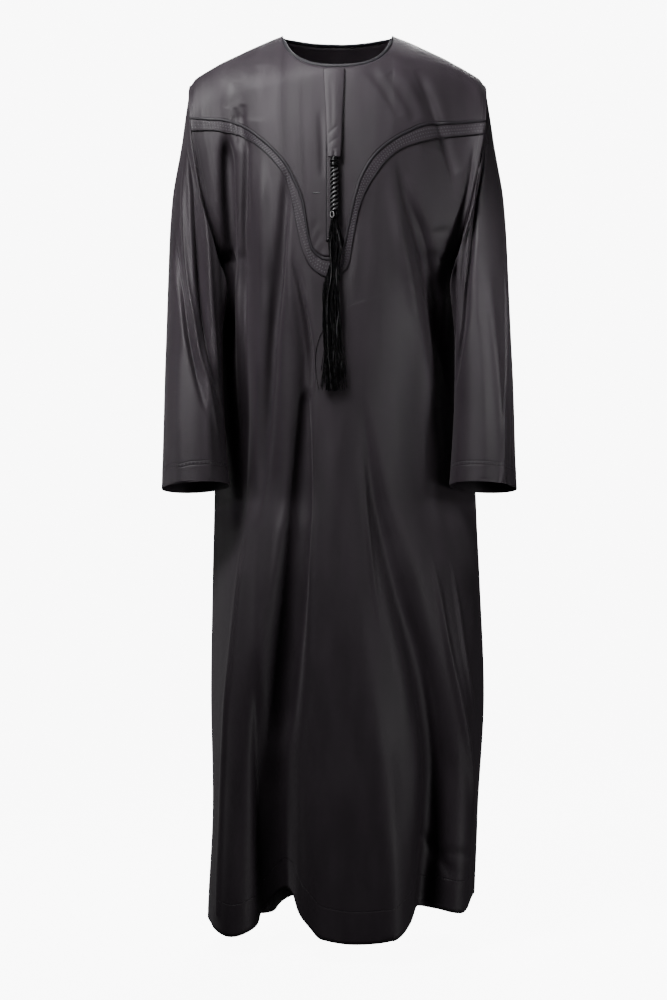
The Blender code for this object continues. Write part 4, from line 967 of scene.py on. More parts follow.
class Wire:
    """A shader socket that takes part in sums: each operator adds its own Math node."""

    def __init__(self, paint, socket):
        self.paint = paint
        self.socket = socket

    def math(self, operation, *values):
        return self.paint.add("ShaderNodeMath", {"operation": operation}, dict(enumerate(values)))

    def __add__(self, other):
        return self.math("ADD", self, other)

    def __sub__(self, other):
        return self.math("SUBTRACT", self, other)

    def __rsub__(self, other):
        return self.math("SUBTRACT", other, self)

    def __mul__(self, other):
        return self.math("MULTIPLY", self, other)

    def __abs__(self):
        return self.math("ABSOLUTE", self)

    def sine(self):
        return self.math("SINE", self)

    __radd__ = __add__
    __rmul__ = __mul__


class Paint:
    """One material and its nodes."""

    def __init__(self, name, **fixed):
        self.material = bpy.data.materials.new(name)
        self.material.use_nodes = True
        self.tree = self.material.node_tree
        self.shader = self.tree.nodes["Principled BSDF"]
        for key, value in fixed.items():
            self.shader.inputs[key.replace("_", " ")].default_value = value

    def add(self, kind, settings=None, inputs=None, output=0):
        node = self.tree.nodes.new(kind)
        for name, value in (settings or {}).items():
            setattr(node, name, value)
        for name, value in (inputs or {}).items():
            self.feed(node.inputs[name], value)
        return Wire(self, node.outputs[output])

    def feed(self, socket, value):
        if isinstance(value, Wire):
            self.tree.links.new(value.socket, socket)
        else:
            socket.default_value = value

    def drive(self, name, value):
        self.feed(self.shader.inputs[name], value)

    def cloth_map(self):
        """The cloth's own measures in metres: across it, and up from its lowest edge."""
        place = self.add("ShaderNodeUVMap", {"uv_map": "cloth"})
        return [self.add("ShaderNodeSeparateXYZ", {}, {"Vector": place}, output=i) for i in range(2)]

    def object_place(self):
        return self.add("ShaderNodeTexCoord", {}, {}, output="Object")

    def noise(self, vector, scale, detail=2.0):
        return self.add("ShaderNodeTexNoise", {}, {"Vector": vector, "Scale": scale, "Detail": detail})

    def stretched(self, vector, scale):
        return self.add("ShaderNodeMapping", {}, {"Vector": vector, "Scale": scale})

    def between(self, value, low, high, to_low=0.0, to_high=1.0):
        return self.add("ShaderNodeMapRange", {"interpolation_type": "SMOOTHSTEP"},
                        {"Value": value, "From Min": low, "From Max": high,
                         "To Min": to_low, "To Max": to_high})

    def mix(self, share, dark, light):
        return self.add("ShaderNodeMix", {"data_type": "RGBA"}, {0: share, 6: dark, 7: light}, output=2)

    def raise_by(self, height):
        """Turns a height in metres into the surface's own direction."""
        bump = self.add("ShaderNodeBump", {}, {"Height": height, "Distance": 1.0, "Strength": 1.0})
        self.drive("Normal", bump)


CLOTH_DARK = (0.0174, 0.0126, 0.0170, 1.0)
CLOTH_LIGHT = (0.0229, 0.0167, 0.0224, 1.0)
TWILL_PITCH = 0.0009
TWILL_RISE = 0.00003
TWILL_TURN = math.radians(63)
UNEVEN_SCALE = (38.0, 38.0, 9.0)
SLUB_SCALE, SLUB_RISE = 900.0, 0.00005
YARN_SHADE, SLUB_SHADE = 0.03, 0.15
SHADE_FROM, SHADE_TO = 0.38, 0.80
CLOTH_ROUGH_LOW, CLOTH_ROUGH_HIGH = 0.54, 0.62
SLUB_ROUGH = 0.3
PRESSED_HALF_WIDTH, PRESSED_DEPTH = 0.0016, 0.00035
NOISE_LOW, NOISE_HIGH = 0.3, 0.7
RIB_PITCH, RIB_RISE = 0.0012, 0.00006
TRIM_UNEVEN_SCALE, TRIM_GRAIN_SCALE = 60.0, 1400.0
TRIM_ROUGH_LOW, TRIM_ROUGH_HIGH = 0.50, 0.62
STREAK_SCALE, FINE_STREAK_SCALE = (300.0, 300.0, 12.0), (1500.0, 1500.0, 60.0)
STREAK_RISE, STREAK_GLOSS, STREAK_DULL = 0.00008, -0.06, 0.08
STUDIO_GLOW, SPECKLE_SCALE = 9.0, 3.0
STUDIO_DARK, STUDIO_LIGHT = (0.80, 0.80, 0.80, 1.0), (0.83, 0.83, 0.83, 1.0)
SPECKLE_LOW, SPECKLE_HIGH = 0.2, 0.8
STUDIO_ROUGH_LOW, STUDIO_ROUGH_HIGH = 0.85, 0.95


def gabardine(name, fold_lines=(), painted_lightness=1.0):
    """Smooth close twill with a satin face. fold_lines are stitched lines, up from the lowest edge.
    painted_lightness scales the colour up: painted light on a copy of the same cloth.
    """
    paint = Paint(name, Sheen_Weight=0.08, Sheen_Roughness=0.45, Specular_IOR_Level=0.38,
                  Sheen_Tint=(0.82, 0.77, 0.82, 1.0))
    across, up = paint.cloth_map()
    place = paint.object_place()
    turn = (across * math.cos(TWILL_TURN) + up * math.sin(TWILL_TURN)) * (math.tau / TWILL_PITCH)
    yarns = turn.sine()
    uneven = paint.noise(paint.stretched(place, UNEVEN_SCALE), 1.0, detail=3.0)
    slub = paint.noise(place, SLUB_SCALE)
    shade = paint.between(uneven + yarns * YARN_SHADE + slub * SLUB_SHADE, SHADE_FROM, SHADE_TO)
    dark, light = ([value * painted_lightness for value in tone[:3]] + [1.0] for tone in (CLOTH_DARK, CLOTH_LIGHT))
    paint.drive("Base Color", paint.mix(shade, dark, light))
    worn = uneven * (1.0 - SLUB_ROUGH) + slub * SLUB_ROUGH
    paint.drive("Roughness", paint.between(worn, NOISE_LOW, NOISE_HIGH, CLOTH_ROUGH_LOW, CLOTH_ROUGH_HIGH))
    height = yarns * TWILL_RISE + slub * SLUB_RISE
    for line in fold_lines:
        height = height + paint.between(abs(up - line), 0.0, PRESSED_HALF_WIDTH, -PRESSED_DEPTH, 0.0)
    paint.raise_by(height)
    return paint.material


def corded_trim(name, dark=(0.016, 0.015, 0.018, 1.0), light=(0.028, 0.026, 0.031, 1.0)):
    """Fine corded weave of the neck binding and of the cords in the edges."""
    paint = Paint(name, Specular_IOR_Level=0.22)
    across, up = paint.cloth_map()
    place = paint.object_place()
    ribs = (across * (math.tau / RIB_PITCH)).sine()
    uneven = paint.noise(place, TRIM_UNEVEN_SCALE, detail=3.0)
    paint.drive("Base Color", paint.mix(uneven, dark, light))
    paint.drive("Roughness", paint.between(uneven, NOISE_LOW, NOISE_HIGH, TRIM_ROUGH_LOW, TRIM_ROUGH_HIGH))
    paint.raise_by(ribs * RIB_RISE + paint.noise(place, TRIM_GRAIN_SCALE) * RIB_RISE)
    return paint.material


def rayon_thread(name, dark, light, roughness, shine=0.7):
    """Glossy thread with streaks along its length."""
    paint = Paint(name, Specular_IOR_Level=shine)
    place = paint.object_place()
    streaks = paint.noise(paint.stretched(place, STREAK_SCALE), 1.0, detail=3.0)
    paint.drive("Base Color", paint.mix(paint.between(streaks, NOISE_LOW, NOISE_HIGH), dark, light))
    rough = paint.between(streaks, NOISE_LOW, NOISE_HIGH, roughness + STREAK_GLOSS, roughness + STREAK_DULL)
    paint.drive("Roughness", rough)
    paint.raise_by(paint.noise(paint.stretched(place, FINE_STREAK_SCALE), 1.0) * STREAK_RISE)
    return paint.material


def studio_white(name):
    """The pale paint of the stage, which glows evenly."""
    paint = Paint(name, Specular_IOR_Level=0.0, Emission_Strength=STUDIO_GLOW)
    paint.shader.inputs["Emission Color"].default_value = (1.0, 1.0, 1.0, 1.0)
    speckle = paint.noise(paint.object_place(), SPECKLE_SCALE)
    paint.drive("Base Color", paint.mix(speckle, STUDIO_DARK, STUDIO_LIGHT))
    rough = paint.between(speckle, SPECKLE_LOW, SPECKLE_HIGH, STUDIO_ROUGH_LOW, STUDIO_ROUGH_HIGH)
    paint.drive("Roughness", rough)
    return paint.material


PLAIN_CLOTH = gabardine("gabardine")
HEMMED_CLOTH = gabardine("gabardine with a hem", (HEM_STITCH,))
CUFFED_CLOTH = gabardine("gabardine with a cuff", CUFF_STITCHES)
# The band and the tassel strip are the body's own cloth, painted a little lighter: painted light.
LIGHTENED_STRIP_CLOTH = gabardine("gabardine strip painted lighter", (), 1.04)
TRIM_CLOTH = corded_trim("corded trim")
# Dark cover of the band cords; the same dark cover also makes the slit's edge line, a painted shadow.
CORD_AND_SLIT_SHADOW_CLOTH = corded_trim("cord cover and painted slit shadow", (0.0115, 0.0096, 0.0125, 1), (0.0175, 0.0146, 0.0182, 1))
BAND_THREAD = rayon_thread("band thread", (0.028, 0.024, 0.031, 1), (0.048, 0.041, 0.053, 1), 0.42)
SEWING_THREAD = rayon_thread("sewing thread", (0.02, 0.019, 0.022, 1), (0.034, 0.032, 0.037, 1), 0.45)
TASSEL_THREAD = rayon_thread("tassel thread", (0.0012, 0.0012, 0.0014, 1), (0.006, 0.0058, 0.0064, 1),
                             0.24, 0.2)
# Pale thread on the cord's plies and in the fringe: painted glints on black thread.
PAINTED_GLINT_THREAD = rayon_thread("thread with painted glints", (0.042, 0.041, 0.043, 1), (0.09, 0.088, 0.092, 1), 0.3, 0.4)
# Pale loop on the fringe's head: a painted highlight.
LOOP_HIGHLIGHT_THREAD = rayon_thread("loop thread with painted highlight", (0.16, 0.156, 0.16, 1), (0.32, 0.31, 0.318, 1), 0.34)

# The body and sleeves, as finely spaced grids over the solids' form
front_places = column_places(FRONT_NECK_COLUMNS, FRONT_SIDE_COLUMNS)
back_places = column_places(BACK_NECK_COLUMNS, BACK_SIDE_COLUMNS)
front_points, _ = body_cloth(front_places[:, None], front_heights(front_places), True)
back_points, _ = body_cloth(back_places[:, None], back_heights(back_places), False)
front_cloth = Cloth(front_points, True)
back_cloth = Cloth(back_points, False)
armhole_rows = YOKE_ROWS + BAND_ROWS + CHEST_ROWS
sleeves = {}
for side, end in (("left", 0), ("right", -1)):
    front_edge = front_points[end, :armhole_rows + 1]
    back_edge = back_points[end, :BACK_TOP_ROWS + 1]
    sleeves[side] = Cloth(sleeve_points(side, front_edge, back_edge), side == "left", closed=True)

yoke_cloth = front_cloth.part(0, YOKE_ROWS)
panel_cloth = front_cloth.part(YOKE_ROWS, front_cloth.points.shape[1] - 1)

front_yoke = cloth_object("fine_front_yoke", yoke_cloth, PLAIN_CLOTH)
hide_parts("front_yoke")

front_panel = cloth_object("fine_front_panel", panel_cloth, HEMMED_CLOTH)
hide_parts("front_panel")

back_panel = cloth_object("fine_back_panel", back_cloth, HEMMED_CLOTH)
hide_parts("back_panel")

for side in ("left", "right"):
    sleeve = cloth_object("fine_sleeve_" + side, sleeves[side], CUFFED_CLOTH)
    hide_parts("sleeve_" + side)
    "sleeve_" + side


# Neck binding: a folded strip whose round edge stands up from the neckline
BINDING_ROUND = 7
BINDING_SMOOTHING = 3
# At the corner on the shoulder seam the strip narrows by this share, within this distance
CORNER_NARROWING, CORNER_REACH = 0.8, 0.012
BINDING_MAP_STEP = 0.001


def smooth_ring(values, passes):
    for _ in range(passes):
        values = (np.roll(values, 1, axis=0) + values + np.roll(values, -1, axis=0)) / 3
    return values


def binding_object():
    neck = slice(FRONT_SIDE_COLUMNS, FRONT_SIDE_COLUMNS + FRONT_NECK_COLUMNS + 1)
    behind = slice(BACK_SIDE_COLUMNS + 1, BACK_SIDE_COLUMNS + BACK_NECK_COLUMNS)
    front_ring = [front_cloth.points[neck, row] for row in (0, 2)]
    back_ring = [back_cloth.points[behind, row][::-1] for row in (0, 2)]
    rim, below = (np.concatenate([a, b]) for a, b in zip(front_ring, back_ring))
    normals = np.concatenate([front_cloth.normals[neck, 1], back_cloth.normals[behind, 1][::-1]])
    run = unit(np.roll(rim, -1, axis=0) - np.roll(rim, 1, axis=0))
    onward = rim - below
    onward = onward - run * np.sum(onward * run, axis=1, keepdims=True)
    onward = unit(smooth_ring(unit(onward), BINDING_SMOOTHING))
    normals = normals - onward * np.sum(normals * onward, axis=1, keepdims=True)
    normals = unit(smooth_ring(unit(normals), BINDING_SMOOTHING))
    low, high = -(BINDING_WALL + WALL) / 2, (BINDING_WALL - WALL) / 2
    middle, half = (low + high) / 2, (high - low) / 2
    profile = [(SEAM_GAP, high)]
    for k in range(BINDING_ROUND):
        turn = math.pi / 2 - math.pi * k / (BINDING_ROUND - 1)
        profile.append((BINDING_WIDTH - half + half * math.cos(turn), middle + half * math.sin(turn)))
    profile.append((SEAM_GAP, low))
    to_corner = np.hypot(NECK_HALF_WIDTH - np.abs(rim[:, :1]), rim[:, 2:3])
    narrow = 1.0 - CORNER_NARROWING * np.exp(-(to_corner / CORNER_REACH) ** 2)
    ring = np.stack([rim + onward * a * narrow + normals * b for a, b in profile], axis=1)
    count, sides = ring.shape[:2]
    run_length = lengths_along(np.concatenate([rim, rim[:1]]))
    faces, uvs = [], []
    for i in range(count):
        after = (i + 1) % count
        for k in range(sides):
            b = (k + 1) % sides
            faces.append((i * sides + k, after * sides + k, after * sides + b, i * sides + b))
            start, end = run_length[i:i + 2]
            near, far = BINDING_MAP_STEP * k, BINDING_MAP_STEP * (k + 1)
            uvs.append([(start, near), (end, near), (end, far), (start, far)])
    item = mesh_object("fine_neck_binding", ring.reshape(-1, 3), faces, uvs)
    select_only(item)
    bpy.ops.object.mode_set(mode="EDIT")
    bpy.ops.mesh.select_all(action="SELECT")
    bpy.ops.mesh.normals_make_consistent(inside=False)
    bpy.ops.object.mode_set(mode="OBJECT")
    return dress(item, TRIM_CLOTH)


neck_binding = binding_object()
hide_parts("neck_binding")

# Band along the yoke seam, with a cord in each edge
BAND_REACH = 0.993
band_columns = np.flatnonzero(np.abs(front_places) < BAND_REACH)
band_cloth = front_cloth.part(YOKE_ROWS, YOKE_ROWS + BAND_ROWS,
                              slice(band_columns[0], band_columns[-1] + 1), SEAM_GAP + TRIM_WALL)
yoke_band = cloth_object("fine_yoke_band", band_cloth, LIGHTENED_STRIP_CLOTH, TRIM_WALL)
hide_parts("yoke_band")

# Front placket beside the slit
placket = front_patch(PLACKET_LEFT, PLACKET_RIGHT, PLACKET_TOP, PLACKET_FOOT, PLACKET_COLUMNS, PLACKET_ROWS,
                      SEAM_GAP + TRIM_WALL)
front_placket = cloth_object("fine_front_placket", placket, PLAIN_CLOTH, TRIM_WALL)
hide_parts("front_placket")


# Tassel: the folded strip, the knots, the twisted cord and the threads
def tassel_y(z):
    return curve(TASSEL_LINE, "z", "y", z)


STRIP_CREASES = rows_of(Crease, [
    (-0.015, -0.178, 0.001, -0.164, 0, 0.0022, -0.0008, 0.2),
    (-0.015, -0.196, 0.004, -0.182, 0.001, 0.0018, -0.0006, 0.2),
    (-0.012, -0.206, 0.003, -0.199, 0.001, 0.0016, -0.0006, 0.2),
    (-0.0055, -0.204, -0.0055, -0.224, 0, 0.002, -0.0016),
    (-0.011, -0.09, -0.009, -0.17, 0.001, 0.003, -0.0006),
])


def tassel_strip():
    shares = np.linspace(-1.0, 1.0, TASSEL_BAND_COLUMNS)[:, None]
    z = np.linspace(TASSEL_BAND[0].z + TASSEL_BAND_TUCK, TASSEL_BAND[-1].z, TASSEL_BAND_ROWS)[None, :]
    z = z * np.ones_like(shares)
    half_width = curve(TASSEL_BAND, "z", "half_width", z)
    lift = curve(TASSEL_BAND, "z", "lift", z)
    middle = body_surface(TASSEL_X / SHOULDER_HALF_WIDTH, z, True)[..., 1]
    x = TASSEL_X + half_width * shares
    bulge = TASSEL_BAND_BULGE * np.cos(shares * math.pi / 2)
    y = middle - lift + TASSEL_BAND_BOW * shares ** 2 - bulge - crease_relief(STRIP_CREASES, x, z)
    return Cloth(np.stack([x, y, z], axis=-1), True)


tassel_band = cloth_object("fine_tassel_band", tassel_strip(), LIGHTENED_STRIP_CLOTH, TASSEL_BAND_WALL)
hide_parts("tassel_band")

# Each turn of thread is this share as deep as it is wide, and the way it tilts changes with its height
WRAP_STEPS, WRAP_DEPTH, WRAP_DRIFT = 26, 0.92, 900.0
KNOT_WRAPS, KNOT_THREAD, KNOT_TILT = 5, 0.0021, 0.0008
# The knot is this share of its radius at its ends, and full in the middle
KNOT_ENDS = 0.72
KNOT_CORE, KNOT_CORE_ROWS, KNOT_CORE_SIDES, KNOT_CORE_REACH = 0.0038, 9, 10, 0.001
HEAD_WRAPS, HEAD_THREAD, HEAD_TILT = 4, 0.0019, 0.0009
HEAD_RADIUS, HEAD_SWELL = 0.0044, 0.0010


def wound_ring(z, radius, thick, tilt):
    """One turn of thread round the tassel, tilted a different way at each height."""
    turns = np.arange(WRAP_STEPS) * math.tau / WRAP_STEPS
    x = TASSEL_X + radius * np.cos(turns)
    y = tassel_y(z) + radius * np.sin(turns) * WRAP_DEPTH
    return tube(np.stack([x, y, z + tilt * np.cos(turns + z * WRAP_DRIFT)], axis=1), thick, closed=True)


def wound_rings(count, top, foot, radius_at, thick, tilt):
    """Turns of thread from top to foot. radius_at is given 0 at the ends and 1 in the middle."""
    shares = [(i + 0.5) / count for i in range(count)]
    return [wound_ring(top + (foot - top) * share, radius_at(math.sin(math.pi * share)), thick, tilt)
            for share in shares]


def knot_object():
    full = KNOT_RADIUS - KNOT_THREAD
    wraps = wound_rings(KNOT_WRAPS, KNOT_TOP, KNOT_FOOT,
                        lambda middle: full * (KNOT_ENDS + (1.0 - KNOT_ENDS) * middle),
                        KNOT_THREAD, KNOT_TILT)
    y = tassel_y(np.linspace(KNOT_TOP, KNOT_FOOT, KNOT_CORE_ROWS))
    z = np.linspace(KNOT_TOP + KNOT_CORE_REACH, KNOT_FOOT - KNOT_CORE_REACH, KNOT_CORE_ROWS)
    core = np.stack([np.full(KNOT_CORE_ROWS, TASSEL_X), y, z], axis=1)
    wraps.append(tube(core, KNOT_CORE, KNOT_CORE_SIDES))
    return joined_object("fine_tassel_knot", wraps, TASSEL_THREAD)


tassel_knot = knot_object()
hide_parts("tassel_knot")

PLY_RADIUS = 0.0032
PLY_TURNS, PLY_STEPS, PLY_SIDES = 3.3, 90, 10
# The plies run this far into the knots above and below
PLY_OVER_TOP, PLY_OVER_FOOT = 0.002, 0.001
# Pale yarns on each ply's outer side, which paint the cord's diagonal highlights.
YARNS_ON_PLY, YARN_SIDES = 3, 5
YARN_RADIUS, YARN_SINK, YARN_ANGLE = 0.00055, 0.0002, 0.40


def ply_path(ply, aside=0.0, beyond=0.0):
    """The middle of one ply, or a pale yarn on its outer side that paints the ply's highlight."""
    top, foot = KNOT_FOOT - SEAM_GAP + PLY_OVER_TOP, CORD_FOOT - PLY_OVER_FOOT
    share = np.linspace(0.0, 1.0, PLY_STEPS)
    z = top + (foot - top) * share
    turn = -math.tau * (ply / CORD_PLIES + PLY_TURNS * share)
    out = CORD_RADIUS - PLY_RADIUS
    x = TASSEL_X + out * np.cos(turn) + beyond * np.cos(turn + aside)
    y = tassel_y(z) + out * np.sin(turn) + beyond * np.sin(turn + aside)
    return np.stack([x, y, z], axis=1)


plies, yarns = [], []
for ply in range(CORD_PLIES):
    plies.append(tube(ply_path(ply), PLY_RADIUS, PLY_SIDES))
    for yarn in range(YARNS_ON_PLY):
        aside = (yarn - (YARNS_ON_PLY - 1) / 2) * YARN_ANGLE
        yarns.append(tube(ply_path(ply, aside, PLY_RADIUS - YARN_SINK), YARN_RADIUS, YARN_SIDES))
tassel_cord = joined_object("fine_tassel_cord", plies, TASSEL_THREAD)
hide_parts("tassel_cord")
cord_highlight_yarns = joined_object("cord_highlight_yarns", yarns, PAINTED_GLINT_THREAD)

# The fringe: locks of threads that sway together, each thread with a small wave of its own, and a few pale
# threads among them as painted glints
LOCKS, THREADS_IN_LOCK, FRINGE_SEED = 15, 14, 41
THREAD_THICK, THREAD_STEPS, THREAD_SIDES, THREAD_TUCK = 0.00050, 30, 4, 0.001
Fan = namedtuple("Fan", "share half_width shift")
FRINGE_SHAPE = rows_of(Fan, [
    (0, 0.0042, 0), (0.16, 0.0106, 0.0004), (0.3, 0.0084, 0), (0.48, 0.0136, -0.0034),
    (0.78, 0.0142, -0.0028), (1, 0.016, -0.0012),
])
FORK_FROM, FORK_WIDTH = 0.80, 0.0068
LOCK_REACH, LOCK_DEPTH = 0.88, 0.5
LOCK_RADIUS, LOCK_OPENING = 0.0009, 0.0012
LOCK_SPREAD, LOCK_EDGE_DEPTH = 0.9, 0.05
SWAY_HEIGHT, SWAY_TURNS, SWAY_START, SWAY_FADE = (0.0013, 0.0028), (8, 17), 6.3, 6.0
WAVE_HEIGHT, WAVE_TURNS = (0.0002, 0.0008), (10, 30)
THREAD_UNEVEN = (0.8, 1.25)
SHORTEST_THREAD = 0.80
# Every so many threads one is pale: a painted glint in the black fringe.
GLINTING_THREAD_EACH, GLINTING_THREAD_FIRST = 13, 5


def fringe_object():
    """Wavy locks of thread that fall from the lower knot, fanned out and forked at their ends; a few threads
    are pale, painted glints.
    """
    chance = random.Random(FRINGE_SEED)
    tubes = wound_rings(HEAD_WRAPS, HEAD_TOP, HEAD_FOOT, lambda middle: HEAD_RADIUS + HEAD_SWELL * middle,
                        HEAD_THREAD, HEAD_TILT)
    pale = []
    share = np.linspace(0.0, 1.0, THREAD_STEPS)
    fan = curve(FRINGE_SHAPE, "share", "half_width", share)
    shift = curve(FRINGE_SHAPE, "share", "shift", share)
    forked = np.maximum(share - FORK_FROM, 0.0) / (1 - FORK_FROM)
    for lock in range(LOCKS):
        side = (lock + 0.5) / LOCKS * 2.0 - 1.0
        deep = chance.uniform(-LOCK_SPREAD, LOCK_SPREAD) * math.sqrt(max(1.0 - side * side, LOCK_EDGE_DEPTH))
        sway = chance.uniform(*SWAY_HEIGHT)
        sway = sway * np.sin(share * chance.uniform(*SWAY_TURNS) + chance.random() * SWAY_START)
        sway = sway * np.minimum(share * SWAY_FADE, 1.0)
        for _ in range(THREADS_IN_LOCK):
            reach = math.sqrt(chance.random()) * (LOCK_RADIUS + LOCK_OPENING * share)
            turn = chance.random() * math.tau
            fork = chance.uniform(-1.0, 1.0) * FORK_WIDTH * forked
            wave = chance.uniform(*WAVE_HEIGHT) * np.sin(share * chance.uniform(*WAVE_TURNS) + turn)
            long = SHORTEST_THREAD + (1.0 - SHORTEST_THREAD) * chance.random() ** 0.5
            x = TASSEL_X + shift + side * fan * LOCK_REACH + sway + reach * np.cos(turn) + wave + fork
            y = tassel_y(HEAD_FOOT) + (deep * fan + sway) * LOCK_DEPTH + reach * np.sin(turn) + wave
            z = HEAD_FOOT + THREAD_TUCK + (STRAND_FOOT - HEAD_FOOT) * long * share
            path = np.stack([x, y, z], axis=1)
            due = len(tubes) % GLINTING_THREAD_EACH == GLINTING_THREAD_FIRST
            kind = pale if due and len(pale) * GLINTING_THREAD_EACH < len(tubes) else tubes
            kind.append(tube(path, THREAD_THICK * chance.uniform(*THREAD_UNEVEN), THREAD_SIDES))
    return (joined_object("fine_tassel_fringe", tubes, TASSEL_THREAD),
            joined_object("painted_glint_threads", pale, PAINTED_GLINT_THREAD))


tassel_fringe, painted_glint_threads = fringe_object()
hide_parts("tassel_fringe")

# The pale loop in front of the fringe's bound head, a painted highlight, and the stray thread lower down
LOOP_X, LOOP_Y, LOOP_Z = -0.0030, -0.0064, 0.004
LOOP_HALF_WIDTH, LOOP_HALF_HEIGHT, LOOP_OPENING, LOOP_THICK = 0.0028, 0.0050, 0.3, 0.0007
LOOP_STEPS, LOOP_SIDES = 18, 6
STRAY_TOP, STRAY_LONG, STRAY_X = -0.480, 0.092, -0.0295
STRAY_BOW, STRAY_START, STRAY_THICK = 0.0045, 0.008, 0.0004
STRAY_STEPS, STRAY_SIDES = 30, 5
# The body's half width near the stray thread, and near the bar tack
HIP_HALF_WIDTH, CHEST_HALF_WIDTH = 0.187, 0.209


def loop_object():
    """A loop of pale thread on the front of the fringe's bound head, open at its top: a painted highlight.
    """
    turns = np.linspace(LOOP_OPENING, math.tau - LOOP_OPENING, LOOP_STEPS)
    x = TASSEL_X + LOOP_X + LOOP_HALF_WIDTH * np.sin(turns)
    y = np.full_like(turns, tassel_y(HEAD_FOOT) + LOOP_Y)
    z = HEAD_FOOT + LOOP_Z + LOOP_HALF_HEIGHT * np.cos(turns)
    loop = tube(np.stack([x, y, z], axis=1), LOOP_THICK, LOOP_SIDES)
    return joined_object("painted_highlight_loop", [loop], LOOP_HIGHLIGHT_THREAD)


highlight_loop = loop_object()


def stray_object():
    """One strand that has strayed and lies on the front under the fringe."""
    share = np.linspace(0.0, 1.0, STRAY_STEPS)
    z = STRAY_TOP - STRAY_LONG * share
    x = STRAY_X - STRAY_BOW * np.sin(share * math.pi) + STRAY_START * (1 - share) ** 4
    surface, normals = body_cloth(x / HIP_HALF_WIDTH, z, True)
    path = surface + normals * STRAY_THICK * 2
    return joined_object("stray_thread", [tube(path, STRAY_THICK, STRAY_SIDES)], TASSEL_THREAD)


stray_thread = stray_object()


# Sewing: every row of stitches that shows
hem_lines = [front_cloth.line_up_from_foot(HEM_STITCH), back_cloth.line_up_from_foot(HEM_STITCH)]
hem_stitches = stitches("hem_stitches", hem_lines, SEWING_THREAD)
armhole_cloths = (front_cloth.part(0, armhole_rows), back_cloth.part(0, BACK_TOP_ROWS))
for side in ("left", "right"):
    lines = [sleeves[side].line_up_from_foot(distance) for distance in CUFF_STITCHES]
    cuff_stitches = stitches("cuff_stitches_" + side, lines, SEWING_THREAD)
    "sleeve_" + side
    middle = [sleeves[side].line_up_from_foot(sum(CUFF_STITCHES) / 2)]
    for way in (1, -1):
        zigzag = stitches("cuff_zigzag_%s_%d" % (side, way), middle, SEWING_THREAD, ZIGZAG_LENGTH,
                          ZIGZAG_PITCH, ZIGZAG_THICK, math.radians(ZIGZAG_TURN * way))
        "sleeve_" + side
    lines = [part.line_beside(ARMHOLE_STITCH, from_end=side == "right") for part in armhole_cloths]
    armhole_stitches = stitches("armhole_stitches_" + side, lines, SEWING_THREAD)


def band_line(share, lift):
    """A line along the yoke band, at a share of its depth."""
    place = share * BAND_ROWS
    low = int(place)
    high = min(low + 1, BAND_ROWS)
    mix = place - low
    points = band_cloth.points[:, low] * (1 - mix) + band_cloth.points[:, high] * mix
    normals = unit(band_cloth.normals[:, low] * (1 - mix) + band_cloth.normals[:, high] * mix)
    return points + normals * lift, normals


# Cords at shares of the band's depth
BandCord = namedtuple("BandCord", "share radius flat")
BAND_CORDS = rows_of(BandCord, [(0.10, 0.0024, 0.36), (0.97, 0.0006, 0.60)])
CORD_LIFT = 0.0002
piping = []
for cord in BAND_CORDS:
    path, normals = band_line(cord.share, CORD_LIFT)
    piping.append(tube(path[::2], cord.radius, facing=normals[::2], flat=cord.flat))
band_piping = joined_object("band_piping", piping, CORD_AND_SLIT_SHADOW_CLOTH)

BAND_ROWS_OF_CROSSES = (0.36, 0.56, 0.76)
CROSS_LENGTH, CROSS_PITCH, CROSS_TURN = 0.0036, 0.0046, math.radians(48)
crosses = [band_line(share, 0.0) for share in BAND_ROWS_OF_CROSSES]
for name, turn in (("band_stitches_up", CROSS_TURN), ("band_stitches_down", -CROSS_TURN)):
    row = stitches(name, crosses, BAND_THREAD, CROSS_LENGTH, CROSS_PITCH, STITCH_THICK, turn)

# A dark flattened tube along the placket's left edge: a painted shadow of the slit.
SLIT_SHADOW_RADIUS, SLIT_SHADOW_FLAT = 0.0011, 0.6
slit_shadow_tube = tube(placket.points[0], SLIT_SHADOW_RADIUS, facing=placket.normals[0], flat=SLIT_SHADOW_FLAT)
slit_shadow_line = joined_object("slit_shadow_line", [slit_shadow_tube], CORD_AND_SLIT_SHADOW_CLOTH)
slit_edge = (placket.points[1], placket.normals[1])
slit_stitches = stitches("slit_stitches", [slit_edge], SEWING_THREAD)

BAR_TACK_LEFT, BAR_TACK_RIGHT, BAR_TACK_Z = -0.0380, -0.0270, -0.2690
BAR_TACK_LENGTH, BAR_TACK_PITCH, BAR_TACK_TURN = 0.0026, 0.0007, math.radians(80)
BAR_TACK_POINTS = 12
tack_x = np.linspace(BAR_TACK_LEFT, BAR_TACK_RIGHT, BAR_TACK_POINTS)
tack = body_cloth(tack_x / CHEST_HALF_WIDTH, np.full_like(tack_x, BAR_TACK_Z), True)
bar_tack = stitches("bar_tack", [tack], SEWING_THREAD, BAR_TACK_LENGTH, BAR_TACK_PITCH, BAR_TACK_PITCH,
                    BAR_TACK_TURN)

# Camera at the photograph's angle, level with the middle of the garment
CAMERA_PLACE = (-0.0064, -3.3, -0.742)
CAMERA_LENS, CAMERA_SENSOR = 74.25, 36.0
lens = bpy.data.cameras.new("view")
lens.lens = CAMERA_LENS
lens.sensor_width = CAMERA_SENSOR
camera = bpy.data.objects.new("view", lens)
camera.location = CAMERA_PLACE
camera.rotation_euler = (math.radians(90), 0.0, 0.0)
bpy.context.collection.objects.link(camera)
bpy.context.scene.camera = camera

# Pale floor that rises all round the garment in one soft bend, and bounces no light back on it
FLOOR_Z = -1.450
FLOOR_RADIUS, BEND_RADIUS, WALL_TOP = 4.6, 1.8, 6.5
BEND_STEPS, SWEEP_STEPS = 14, 96


